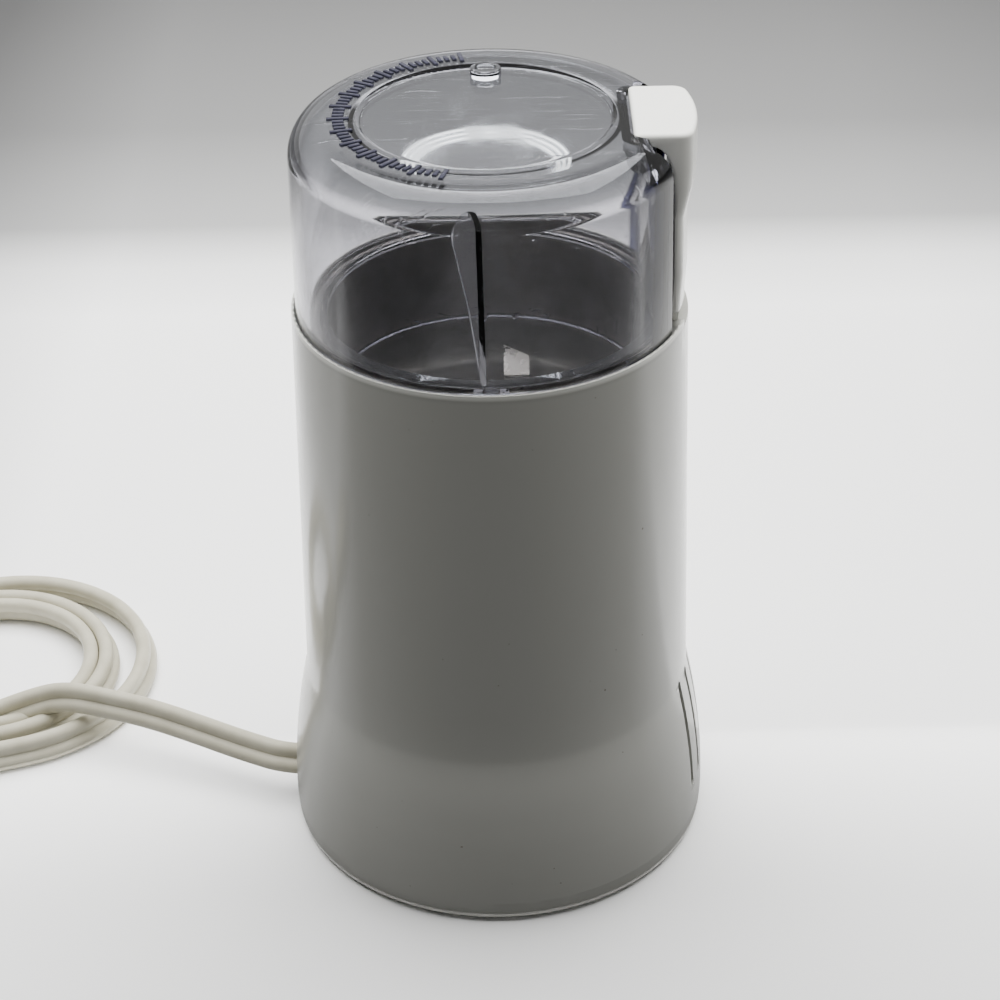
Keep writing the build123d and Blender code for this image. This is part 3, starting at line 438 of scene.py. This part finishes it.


# bowl finish: turning marks, much darker below the lid's skirt

bowlLook = dict(
    light=(0.90, 0.85, 0.74), dark=(0.74, 0.68, 0.57), roughness=(0.40, 0.58), metal=0.6,
    patch=0.007, grain=0.0005, stretch=(1, 1, 0.2), relief=0.00001)
bowlRingsAndDark = {
    "ringScale": 260,
    "ringDistortion": 1.5,
    "ringDepth": 0.00001,
    "belowSkirtDark": ((0.545, 0.15), (0.556, 0.22), (0.5595, 0.16), (0.5615, 1.0)),
}


def makeBowlFinish():
    finish, tree, shader, colour = newFinish("bowl_steel", bowlLook)
    rings = tree.nodes.new("ShaderNodeTexWave")
    rings.wave_type = "RINGS"
    rings.rings_direction = "Z"
    rings.inputs["Scale"].default_value = bowlRingsAndDark["ringScale"]
    rings.inputs["Distortion"].default_value = bowlRingsAndDark["ringDistortion"]
    wire(tree, patternPlace(tree), rings.inputs["Vector"])
    wire(tree, bump(tree, rings.outputs["Fac"], bowlRingsAndDark["ringDepth"]), shader.inputs["Normal"])
    height = calculate(tree, "MULTIPLY", axes(tree)["Z"], 1 / rampHeight)
    # much darker below the lid's skirt, by height
    belowSkirtDark = ramp(tree, height, bowlRingsAndDark["belowSkirtDark"])
    wire(tree, mixColour(tree, 1.0, colour, belowSkirtDark, "MULTIPLY"), shader.inputs["Base Color"])
    return finish


finishes["bowl_steel"] = makeBowlFinish()


# lid finish: clear and smoky, hazed on top, with painted navy shade on the faces beside the pusher

rampFront = 0.05  # metres that the ramp towards the pusher covers
lidLook = {
    "ior": 1.57,
    "absorb": (0.42, 0.41, 0.50),
    "density": 75,
    "clear": (0.75, 0.75, 0.77),
    "haze": (0.66, 0.675, 0.69),
    "hazeStops": ((0.865, 0.0), (0.872, 1.0)),
    "paintedNavyShade": (0.008, 0.008, 0.024),
    "paintedShadeStops": ((0.665, 0.0), (0.68, 1.0)),
    "smearNoise": dict(size=0.012, detail=5, distortion=0.6),
    "smearStops": ((0.4, 0.005), (0.75, 0.05)),
    "scratchNoise": dict(size=0.0012, detail=2, stretch=(1, 0.05, 0.3), distortion=0.8, turn=(0.3, 0.5, 0.9)),
    "scratchStops": ((0.66, 0.0), (0.72, 1.0)),
    "scratchDepth": 0.00002,
    "scratchStrength": 0.5,
}


def makeLidFinish():
    finish, tree, shader = newMaterial("lid_clear")
    look = lidLook
    shader.inputs["Transmission Weight"].default_value = 1
    shader.inputs["IOR"].default_value = look["ior"]
    place = axes(tree)
    hazed = ramp(tree, calculate(tree, "MULTIPLY", place["Z"], 1 / rampHeight), look["hazeStops"])
    colour = mixColour(tree, hazed, look["clear"], look["haze"])
    # painted shade: faces towards the pusher made near-black navy, for the dark look of the channel's walls seen
    # edge-on
    frontness = ramp(tree, calculate(tree, "MULTIPLY", place["Y"], -1 / rampFront), look["paintedShadeStops"])
    paintedShadeShare = calculate(tree, "MULTIPLY", frontness, calculate(tree, "SUBTRACT", 1, hazed))
    wire(tree, mixColour(tree, paintedShadeShare, colour, look["paintedNavyShade"]), shader.inputs["Base Color"])
    smear = ramp(tree, noise(tree, **look["smearNoise"]), look["smearStops"])
    wire(tree, smear, shader.inputs["Roughness"])
    scratches = ramp(tree, noise(tree, **look["scratchNoise"]), look["scratchStops"])
    wire(tree, bump(tree, scratches, look["scratchDepth"], look["scratchStrength"]), shader.inputs["Normal"])
    absorb = tree.nodes.new("ShaderNodeVolumeAbsorption")
    absorb.inputs["Color"].default_value = (*look["absorb"], 1)
    absorb.inputs["Density"].default_value = look["density"]
    wire(tree, absorb.outputs["Volume"], tree.nodes["Material Output"].inputs["Volume"])
    return finish


finishes["lid_clear"] = makeLidFinish()

for node in frame["record"]["subparts"]:
    cadPiece = frame["nodes"][node["node"]]
    for slotIndex in range(len(cadPiece.material_slots)):
        cadPiece.material_slots[slotIndex].material = finishes[node["material_slot"]]
print("finishes made")


# mains lead: out of the back, over the coil and into it, round, under itself and up to the plug

lead = {
    "width": 0.0075,
    "thickness": 0.0038,
    "exit": (0, 0.049, 0.0095),
    "start": [
        (0, 37.5, 9.5), (0, 50, 9.5), (6, 62, 9.4), (12.8, 75.6, 10.4),
        (17.2, 86.6, 11.7), (20.4, 96.6, 12.3), (24.6, 108.2, 12.2), (27.0, 117.4, 8.4),
    ],
    "innerCentre": (49, 133),
    "innerRadius": 25,
    "pitch": 4,
    "innerTurns": 2.25,
    "outerCentre": (49, 129.2),
    "outerRadius": 37.9,
    "outerArc": (90, 350),
    "turnPoints": 18,
    "rest": 3.7,
    "last": [(8, 136, 3.9), (7, 144, 4.8), (4.3, 151.5, 6.2)],
    "lean": (35, 22),  # tilt at the start and after the first points
    "leanPoints": 9,
    "curveSteps": 10,
    "curveOrder": 3,
    "sideAngles": (-44, 225, 16),
    "waist": 0.52,  # of half the thickness
    "smooth": 50,
}


def turnPoint(centre, radius, angle):
    across, along = centre
    return (across - radius * cos(radians(angle)), along + radius * sin(radians(angle)), lead["rest"])


def leadRoute():
    route = list(lead["start"])
    stretch = 1 / cos(pi / lead["turnPoints"]) ** 0.5  # the curve runs inside its points
    step = 360 / lead["turnPoints"]
    angle = 0.0
    while angle < 360 * lead["innerTurns"]:
        radius = (lead["innerRadius"] + lead["pitch"] * angle / 360) * stretch
        route.append(turnPoint(lead["innerCentre"], radius, angle))
        angle += step
    angle, end = lead["outerArc"]
    while angle <= end:
        route.append(turnPoint(lead["outerCentre"], lead["outerRadius"] * stretch, angle))
        angle += step
    return inMetres(route + lead["last"])


def newCurve(name, points):
    data = bpy.data.curves.new(name, "CURVE")
    data.dimensions = "3D"
    data.twist_mode = "Z_UP"
    data.resolution_u = lead["curveSteps"]
    spline = data.splines.new("NURBS")
    spline.points.add(len(points) - 1)
    first, last = lead["lean"]
    for index, (point, place) in enumerate(zip(spline.points, points)):
        point.co = (*place, 1)
        point.tilt = radians(first + (last - first) * min(1, index / lead["leanPoints"]))
    spline.order_u = lead["curveOrder"]
    spline.use_endpoint_u = True
    curve = bpy.data.objects.new(name, data)
    bpy.context.collection.objects.link(curve)
    return curve


def twinSection():
    core = lead["thickness"] / 2
    centre = lead["width"] / 2 - core
    turns = [radians(angle) for angle in range(*lead["sideAngles"])]
    side = [(core * cos(turn), centre + core * sin(turn)) for turn in turns]
    waist = core * lead["waist"]
    points = [(waist, 0)] + side + [(-waist, 0)] + [(-across, -up) for across, up in side]
    data = bpy.data.curves.new("twinSection", "CURVE")
    data.dimensions = "2D"
    spline = data.splines.new("POLY")
    spline.points.add(len(points) - 1)
    for point, (across, up) in zip(spline.points, points):
        point.co = (across, up, 0, 1)
    spline.use_cyclic_u = True
    section = bpy.data.objects.new("twinSection", data)
    bpy.context.collection.objects.link(section)
    return section


def makeLead():
    curve = newCurve("mains_lead", leadRoute())
    centreline = bpy.data.meshes.new_from_object(curve)
    section = twinSection()
    curve.data.bevel_mode = "OBJECT"
    curve.data.bevel_object = section
    curve.data.use_fill_caps = True
    pick(curve)
    bpy.ops.object.convert(target="MESH")
    piece = bpy.context.object
    bpy.data.objects.remove(section)
    smoothShade(piece, lead["smooth"])
    give(piece, finishes["cord_vinyl"], "base_unit")
    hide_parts("power_cord", "cord_coil", "cord_tail")
    plug = smoothCopy("plug_body", "base_unit", "plug_vinyl")


makeLead()
print("lead laid")


# lid: a turned shell with a dish, bars and a stud, the pusher's channel cut through it, one fin inside

lidSize = {
    "steps": 288,
    "bottom": 111.7,
    "ledge": 133.4,
    "top": 178.1,
    "skirt": 37.2,
    "skirtWall": 1.8,
    "radius": 42.15,
    "topRadius": 41.7,
    "wall": 2.6,
    "web": 1.8,
    "topThickness": 2.4,
    "shoulder": 7.9,
    "edgeRound": 0.4,
    "skirtInnerRound": 0.15,
    "wallInnerRound": 0.5,
    "innerCorner": 5.4,
    "dish": 27.2,
    "dishSlope": 1.0,
    "dishRound": 0.6,
    "dishFloor": 177.4,
    "underDish": (1.6, 0.5),  # beyond the dish's edge, high and low
    "underRound": 0.8,
    "flatRings": (5.0, 1.0, -2.0, -4.0),  # from the dish's edge, to keep flat faces flat where they are smoothed
    "underFlatRings": (-0.8, -3.0),
    "cornerSteps": (12, 10),
    "smooth": 30,
}
channel = {
    "halfWidth": 17.3,
    "wing": 3.5,
    "wall": 1.8,
    "floor": 36.0,
    "edge": 4.0,
    "pocketReach": 29.5,
    "pocketFloor": 172.2,
    "pocketHalfWidth": 13.6,
    "pocketLength": 3.5,
    "pocketCorner": 3.4,
    "pocketRound": 1.5,
    "mouthRound": 1,
    "planSteps": 12,
    "out": 53.0,
    "above": 6,
    "spare": 1,
    "railWidth": 1.4,
    "railHeight": 1.6,
    "railPlace": 3.85,
    "railRoot": 0.2,
}


def channelForm(name, growth, wing):  # the pusher's channel and the cap's pocket, the inner walls moved in by growth
    cut, spare = channel, channel["spare"]
    half = cut["halfWidth"] + wing
    narrow = cut["pocketHalfWidth"] + growth
    back, reach, out = growth - cut["floor"], growth - cut["pocketReach"], -cut["out"]
    floor = cut["pocketFloor"] - growth
    low, high = lidSize["bottom"] - spare, lidSize["top"] + cut["above"]
    side = roundedLine([
        (out, low, 0),
        (back, low, 0),
        (back, floor, cut["edge"] - growth),
        (reach, floor, cut["pocketRound"] + growth),
        (reach, high, 0),
        (out, high, 0),
    ])
    form = pushedSolid(name, [Vector((-half, along, up)) * mm for along, up in side], (2 * half * mm, 0, 0))
    mouth, step = cut["mouthRound"], reach - cut["pocketLength"]
    rightSide = [
        (half + spare, out - spare, 0),
        (half + spare, step - spare, mouth),
        (narrow, step, mouth),
        (narrow, reach, cut["pocketCorner"]),
    ]
    leftSide = [(-across, along, radius) for across, along, radius in rightSide]
    plan = roundedLine(leftSide + rightSide[::-1], cut["planSteps"])
    outline = [Vector((across, along, low - spare)) * mm for across, along in plan]
    combine(form, pushedSolid("plan", outline, (0, 0, (high - low + 2 * spare) * mm)), "INTERSECT")
    return form


def lidOutline():
    size = lidSize
    dish, top, dishFloor, edge = size["dish"], size["top"], size["dishFloor"], size["edgeRound"]
    outside, inside, dishOut, dishIn = size["flatRings"]
    corners = [
        (0, size["bottom"], 0),
        (size["skirt"], size["bottom"], edge),
        (size["skirt"], size["ledge"], 0),
        (size["radius"], size["ledge"], edge),
        (size["topRadius"], top, size["shoulder"]),
        (dish + outside, top, 0),
        (dish + inside, top, 0),
        (dish, top, edge),
        (dish - size["dishSlope"], dishFloor, size["dishRound"]),
        (dish + dishOut, dishFloor, 0),
        (dish + dishIn, dishFloor, 0),
        (0, dishFloor, 0),
    ]
    return inMetres(roundedLine(corners, size["cornerSteps"][0]))


def spaceOutline():
    size = lidSize
    below = size["bottom"] - channel["spare"]
    inner, webTop = size["skirt"] - size["skirtWall"], size["ledge"] + size["web"]
    under = size["top"] - size["topThickness"]
    dishUnder = size["dishFloor"] - size["topThickness"]
    dish, bend = size["dish"], size["underRound"]
    high, low = size["underDish"]
    outside, inside = size["underFlatRings"]
    corners = [
        (0, below, 0),
        (inner, below, 0),
        (inner, webTop, size["skirtInnerRound"]),
        (size["radius"] - size["wall"], webTop, size["wallInnerRound"]),
        (size["topRadius"] - size["wall"], under, size["innerCorner"]),
        (dish + high, under, bend),
        (dish + low, dishUnder, bend),
        (dish + outside, dishUnder, 0),
        (dish + inside, dishUnder, 0),
        (0, dishUnder, 0),
    ]
    return inMetres(roundedLine(corners, size["cornerSteps"][1]))


fin = {
    "bearing": 178.0,
    "skew": -45.0,
    "thickness": 0.8,
    "foot": 136.2,
    "head": 173.8,
    "depth": 8.4,
    "root": -1.6,
    "lip": (0.3, -0.6),  # reach at the foot and at the head
    "belly": dict(share=0.42, drop=3, radius=60),
    "shoulder": dict(share=1, drop=6.5, radius=5),
    "crown": dict(share=0.55, drop=0.6, radius=4),
}


def makeFin():
    bearing = radians(fin["bearing"])
    inward = radians(fin["bearing"] + 180 - fin["skew"])
    start = lidSize["radius"] - lidSize["wall"]
    foot, head, depth, root = fin["foot"], fin["head"], fin["depth"], fin["root"]
    belly, shoulder, crown = fin["belly"], fin["shoulder"], fin["crown"]
    low, high = fin["lip"]
    edge = roundedLine([
        (root, foot, 0),
        (low, foot, 0),
        (depth * belly["share"], (foot + head) / 2 - belly["drop"], belly["radius"]),
        (depth * shoulder["share"], head - shoulder["drop"], shoulder["radius"]),
        (depth * crown["share"], head - crown["drop"], crown["radius"]),
        (high, head, 0),
        (root, head, 0),
    ])
    along = Vector((cos(inward), sin(inward), 0))
    aside = Vector((sin(inward), -cos(inward), 0)) * fin["thickness"] * mm
    wallSpot = Vector((start * cos(bearing), start * sin(bearing), 0))
    points = [(wallSpot + along * reach + Vector((0, 0, up))) * mm - aside / 2 for reach, up in edge]
    return pushedSolid("fin", points, aside)


def makeRail(side):
    across = side * channel["railPlace"]
    half = channel["railWidth"] / 2
    low, high = lidSize["ledge"], channel["pocketFloor"] - channel["edge"]
    near, far = -channel["floor"] + channel["railRoot"], -channel["floor"] - channel["railHeight"]
    outline = [(across - half, near), (across - half, far), (across + half, far), (across + half, near)]
    points = [Vector((*corner, low)) * mm for corner in outline]
    return pushedSolid("rail", points, (0, 0, (high - low) * mm))


stud = {
    "at": 22.3,
    "radius": 3.4,
    "height": 1.7,
    "root": 0.6,
    "round": 0.3,
    "hollow": 2.3,
    "hollowDepth": 0.5,
    "hollowSlope": 0.3,
    "hollowRound": 0.2,
    "cornerSteps": 5,
    "steps": 72,
}


def makeStud():  # low and round, with a hollow top
    floor, high = lidSize["dishFloor"] - stud["root"], lidSize["dishFloor"] + stud["height"]
    outer, hollow, bend = stud["radius"], stud["hollow"], stud["round"]
    hollowFloor = high - stud["hollowDepth"]
    corners = [
        (0, floor, 0),
        (outer, floor, 0),
        (outer, high, bend),
        (hollow, high, bend),
        (hollow - stud["hollowSlope"], hollowFloor, stud["hollowRound"]),
        (0, hollowFloor, 0),
    ]
    piece = spinSolid("stud", inMetres(roundedLine(corners, stud["cornerSteps"])), stud["steps"])
    piece.data.transform(Matrix.Translation((stud["at"] * mm, 0, 0)))
    return piece


lidTicks = {
    "arc": (10, 164),
    "count": 53,
    "every": 4,
    "long": (28.5, 33.2),
    "short": (29.6, 32.1),
    "width": 0.95,
    "height": 0.45,
    "root": 0.3,
    "bevel": 0.2,
    "bevelSteps": 2,
}
# painted shade: dark strips where the channel's walls only look dark
lidShadeStrips = {
    "at": 15.4,
    "width": 3.2,
    "depthAt": -36.6,
    "depth": 2.6,
    "foot": 135.2,
    "head": 171.6,
    "bevel": 0.4,
    "bevelSteps": 3,
}
barSmooth = 40


def newBar(at, size, look, test):  # a box, rounded on the faces that test picks by their normals
    deselectAll()
    bpy.ops.mesh.primitive_cube_add(size=1, location=at)
    bar = bpy.context.object
    bar.scale = size
    bpy.ops.object.transform_apply(location=True, rotation=False, scale=True)
    bpy.ops.object.mode_set(mode="EDIT")
    selectFaces(bar, test)
    bpy.ops.mesh.bevel(offset=look["bevel"] * mm, segments=look["bevelSteps"])
    bpy.ops.object.mode_set(mode="OBJECT")
    return bar


def joinBars(name, bars):
    deselectAll()
    for bar in bars:
        bar.select_set(True)
    bpy.context.view_layer.objects.active = bars[0]
    bpy.ops.object.join()
    bars[0].name = name
    smoothShade(bars[0], barSmooth)
    give(bars[0], finishes["lid_ticks"], "lid")


def makeTicks():  # plain raised bars in a ring on the lid's top, darker than the lid
    ring = lidTicks
    low, high = (lidSize["top"] - ring["root"]) * mm, (ring["height"] + ring["root"]) * mm
    start, end = ring["arc"]
    bars = []
    for number in range(ring["count"]):
        inner, outer = ring["long"] if number % ring["every"] == 0 else ring["short"]
        at = ((inner + outer) / 2 * mm, 0, low + high / 2)
        size = ((outer - inner) * mm, ring["width"] * mm, high)
        bar = newBar(at, size, ring, lambda normal: normal.z > 0.9)
        turn = radians(start + (end - start) * number / (ring["count"] - 1))
        bar.data.transform(Matrix.Rotation(turn, 4, "Z"))
        bars.append(bar)
    joinBars("lid_ticks", bars)


def makeShadeStrips():  # dark strips down the channel's two walls, clear of the stem: painted shade, dark sheets where the walls only look dark
    strip = lidShadeStrips
    size = (strip["width"] * mm, strip["depth"] * mm, (strip["head"] - strip["foot"]) * mm)
    middle = (strip["foot"] + strip["head"]) / 2 * mm
    spots = [(side * strip["at"] * mm, strip["depthAt"] * mm, middle) for side in (-1, 1)]
    joinBars("lid_shade_strips", [newBar(at, size, strip, lambda normal: True) for at in spots])


def makeLid():
    shell = spinSolid("lid_shell", lidOutline(), lidSize["steps"])
    space = spinSolid("lid_space", spaceOutline(), lidSize["steps"])
    combine(space, channelForm("channel_block", channel["wall"], channel["wing"]), "DIFFERENCE")
    combine(shell, space, "DIFFERENCE")
    combine(shell, channelForm("channel_cut", 0, 0), "DIFFERENCE")
    for piece in (makeRail(-1), makeRail(1), makeFin(), makeStud()):
        combine(shell, piece, "UNION")
    smoothShade(shell, lidSize["smooth"])
    give(shell, finishes["lid_clear"], "lid")
    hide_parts("lid")
    print("lid faces", len(shell.data.polygons))


makeLid()
makeTicks()
makeShadeStrips()
print("lid made")


# pusher: rings of one outline, drawn from the stem's foot up to the cap, then the rib and the tongue

pusher = {
    "halfWidth": 13.0,
    "skin": (
        (137.2, 42.1), (139.6, 42.1), (146.0, 42.5), (159.4, 42.35),
        (162.6, 43.05), (166.0, 43.75), (171.0, 44.0), (178.4, 43.9),
    ),
    "back": (
        (137.2, 38.6), (163.0, 38.6), (167.0, 38.45), (169.7, 38.2), (172.0, 37.55),
        (173.6, 36.75), (174.8, 35.7), (175.5, 34.5), (175.9, 33.0), (176.15, 31.6),
        (176.4, 30.8), (176.8, 30.35), (177.2, 30.2),
    ),
    "outerBend": ((137.2, 1.8), (160.0, 2.0), (168.0, 3.0), (178.4, 3.2)),
    "innerBend": 0.8,
    "edge": 0.9,
    "footEdge": ((0, 0.35), (0.12, 0.12), (0.35, 0)),  # height over the foot, inset
    "moreHeights": (142.5, 153.0, 158.0, 161.0, 164.5, 168.5),
    "clearOfFoot": 0.4,
    "clearOfEdge": 0.05,
    "innerSteps": 5,
    "outerSteps": 8,
    "skinSteps": 10,
    "edgeSteps": 5,
    "smooth": 40,
    "rib": dict(half=3.0, back=36.3, front=39.6, low=139.2, high=164.7),
    "tongue": dict(half=8.4, back=39.1, front=40.4, low=131.4, high=139.0),
}


def valueAt(table, height):
    for (low, first), (high, last) in zip(table, table[1:]):
        if height <= high:
            return first + (last - first) * max(0, height - low) / (high - low)
    return table[-1][1]


def pusherRing(height, inset):
    half = pusher["halfWidth"] - inset
    back = valueAt(pusher["back"], height) + inset
    skin = valueAt(pusher["skin"], height) - inset
    outer = valueAt(pusher["outerBend"], height) - inset / 2
    inner = pusher["innerBend"]
    across = half - outer
    along = ((skin - outer) ** 2 - across ** 2) ** 0.5
    spread = atan2(across, along)
    innerTurns = [pi / 2 * step / pusher["innerSteps"] for step in range(pusher["innerSteps"] + 1)]
    outerTurns = [(pi / 2 - spread) * step / pusher["outerSteps"] for step in range(pusher["outerSteps"] + 1)]
    skinTurns = [spread * (1 - step / pusher["skinSteps"]) for step in range(1, pusher["skinSteps"])]
    side = [(half - inner + inner * sin(turn), back + inner - inner * cos(turn)) for turn in innerTurns]
    side += [(across + outer * cos(turn), along + outer * sin(turn)) for turn in outerTurns]
    side += [(skin * sin(turn), skin * cos(turn)) for turn in skinTurns]
    ring = side + [(0, skin)] + [(-x, y) for x, y in reversed(side)]
    return [Vector((x, -y, height)) * mm for x, y in ring]


def pusherLevels():
    low, high, edge = pusher["skin"][0][0], pusher["skin"][-1][0], pusher["edge"]
    levels = [(low + rise, inset) for rise, inset in pusher["footEdge"]]
    heights = {height for table in (pusher["skin"], pusher["back"]) for height, value in table}
    heights |= set(pusher["moreHeights"])
    first, last = low + pusher["clearOfFoot"], high - edge - pusher["clearOfEdge"]
    levels += [(height, 0) for height in sorted(heights) if first < height < last]
    turns = [pi / 2 * step / pusher["edgeSteps"] for step in range(pusher["edgeSteps"] + 1)]
    levels += [(high - edge + edge * sin(turn), edge * (1 - cos(turn))) for turn in turns]
    return levels


def pusherBlock(part):
    size = pusher[part]
    half, back, front = size["half"], -size["back"], -size["front"]
    corners = [(-half, back), (half, back), (half, front), (-half, front)]
    outline = [Vector((*corner, size["low"])) * mm for corner in corners]
    return pushedSolid(part, outline, (0, 0, (size["high"] - size["low"]) * mm))


def makePusher():
    levels = pusherLevels()
    ring = pusherRing(*levels[0])
    piece = drawOutline("pusher_bar", ring, True)
    bpy.ops.mesh.select_all(action="SELECT")
    bpy.ops.mesh.edge_face_add()
    for level in levels[1:]:
        bpy.ops.mesh.extrude_region_move(TRANSFORM_OT_translate={"value": (0, 0, 0)})
        after = pusherRing(*level)
        mesh = bmesh.from_edit_mesh(piece.data)
        for vertex in [vertex for vertex in mesh.verts if vertex.select]:
            nearest = min(range(len(ring)), key=lambda index: (ring[index] - vertex.co).length)
            vertex.co = after[nearest]
        bmesh.update_edit_mesh(piece.data)
        ring = after
    bpy.ops.mesh.select_all(action="SELECT")
    bpy.ops.mesh.normals_make_consistent(inside=False)
    bpy.ops.object.mode_set(mode="OBJECT")
    combine(piece, pusherBlock("rib"), "UNION")
    tongue = pusherBlock("tongue")
    pick(piece)
    tongue.select_set(True)
    bpy.ops.object.join()
    smoothShade(piece, pusher["smooth"])
    give(piece, finishes["pusher_plastic"], "pusher")
    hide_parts("pusher")
    print("pusher faces", len(piece.data.polygons))


makePusher()
print("pusher made")

smoothCopy("housing", "base_unit", "housing_plastic")
smoothCopy("base_cover", "base_unit", "cover_plastic")
smoothCopy("bowl", "base_unit", "bowl_steel")
smoothCopy("blade", "rotor", "blade_steel")
print("pieces smoothed")


# studio: a pale floor with painted shade that greys it to the back and sides, one large soft light above and behind,
# dim front

studio = {
    "floor": dict(size=6.0, cells=12, roughness=0.55, tone=(1.0, 1.0, 0.99)),
    "depthShadeStops": ((0.25, 1.0), (0.285, 0.76), (0.316, 0.33), (0.40, 0.185), (0.53, 0.125)),
    "sideShift": 0.5,
    "sideShadeStops": ((0.20, 0.50), (0.36, 0.92), (0.50, 1.0), (0.63, 1.0), (0.70, 0.50), (0.80, 0.30)),
    "light": dict(size=(1.1, 1.3), at=(0.42, -0.05, 0.95), power=45),
    "card": dict(
        near=0.02, far=-1.2, half=1.0, height=0.002, roughness=0.9,
        shift=0.2, stops=((0.10, 0.02), (0.16, 0.10), (0.22, 0.55))),
    "world": dict(frontTo=0.4, front=0.37, back=0.57),
    "ring": dict(
        at=(1.10, 0.004, 0.690), outer=0.059, inner=0.048, rise=0.005, sides=96,
        glow=24, tone=(0.93, 0.97, 1), rows=3, stops=((0.2, 0.15), (0.5, 1.0), (0.8, 0.15))),
}


def makeFloor():
    look = studio["floor"]
    deselectAll()
    bpy.ops.mesh.primitive_grid_add(size=look["size"], x_subdivisions=look["cells"], y_subdivisions=look["cells"])
    floor = bpy.context.object
    floor.name = "floor"
    finish, tree, shader = newMaterial("floorPaper")
    shader.inputs["Roughness"].default_value = look["roughness"]
    place = axes(tree)
    aside = calculate(tree, "ADD", place["Y"], studio["sideShift"])
    # painted shade: the floor's tone falls off behind and to the sides
    tone = ramp(tree, place["X"], studio["depthShadeStops"])
    tone = mixColour(tree, 1.0, tone, ramp(tree, aside, studio["sideShadeStops"]), "MULTIPLY")
    wire(tree, mixColour(tree, 1.0, look["tone"], tone, "MULTIPLY"), shader.inputs["Base Color"])
    floor.data.materials.append(finish)


def makeCard():  # a dark card in front for the object to mirror; the camera, shadows and glass miss it
    card = studio["card"]
    deselectAll()
    bpy.ops.mesh.primitive_plane_add(size=1)
    piece = bpy.context.object
    piece.name = "card"
    piece.scale = (card["near"] - card["far"], 2 * card["half"], 1)
    piece.location = ((card["near"] + card["far"]) / 2, 0, card["height"])
    piece.visible_camera = False
    piece.visible_shadow = False
    piece.visible_transmission = False
    finish, tree, shader = newMaterial("cardBlack")
    place = tree.nodes.new("ShaderNodeNewGeometry")
    split = tree.nodes.new("ShaderNodeSeparateXYZ")
    wire(tree, place.outputs["Position"], split.inputs["Vector"])
    nearness = calculate(tree, "ADD", split.outputs["X"], card["shift"])
    wire(tree, ramp(tree, nearness, card["stops"]), shader.inputs["Base Color"])
    shader.inputs["Roughness"].default_value = card["roughness"]
    piece.data.materials.append(finish)


def makeLights():
    light, sky = studio["light"], studio["world"]
    deselectAll()
    bpy.ops.object.light_add(type="AREA", location=light["at"])
    lamp = bpy.context.object
    lamp.data.shape = "RECTANGLE"
    lamp.data.size, lamp.data.size_y = light["size"]
    lamp.data.energy = light["power"]
    lamp.visible_glossy = False
    world = bpy.data.worlds.new("studio")
    world.use_nodes = True
    bpy.context.scene.world = world
    tree = world.node_tree
    background = tree.nodes["Background"]
    facing = calculate(tree, "MULTIPLY", axes(tree, "Generated")["X"], 0.5)
    facing = calculate(tree, "ADD", facing, 0.5)
    wire(tree, ramp(tree, facing, ((sky["frontTo"], sky["front"]), (1.0, sky["back"]))), background.inputs["Color"])
    background.inputs["Strength"].default_value = 1.0


def makeRingLamp():  # far behind and high up, for the lid's dish to mirror
    ring = studio["ring"]
    deselectAll()
    bpy.ops.mesh.primitive_circle_add(vertices=ring["sides"], radius=ring["outer"])
    piece = bpy.context.object
    piece.name = "ringLamp"
    bpy.ops.object.mode_set(mode="EDIT")
    bpy.ops.mesh.select_all(action="SELECT")
    bpy.ops.mesh.extrude_region_move(TRANSFORM_OT_translate={"value": (0, 0, ring["rise"])})
    shrink = ring["inner"] / ring["outer"]
    bpy.ops.transform.resize(value=(shrink, shrink, 1), center_override=(0, 0, 0))
    bpy.ops.object.mode_set(mode="OBJECT")
    piece.location = ring["at"]
    glow, tree, shader = newMaterial("ringGlow")
    shader.inputs["Base Color"].default_value = (0, 0, 0, 1)
    shader.inputs["Emission Color"].default_value = (*ring["tone"], 1)
    row = calculate(tree, "FRACT", calculate(tree, "MULTIPLY", axes(tree)["Z"], ring["rows"] / ring["rise"]))
    strength = calculate(tree, "MULTIPLY", ramp(tree, row, ring["stops"]), ring["glow"])
    wire(tree, strength, shader.inputs["Emission Strength"])
    piece.data.materials.append(glow)


makeFloor()
makeCard()
makeLights()
makeRingLamp()
print("studio lit")
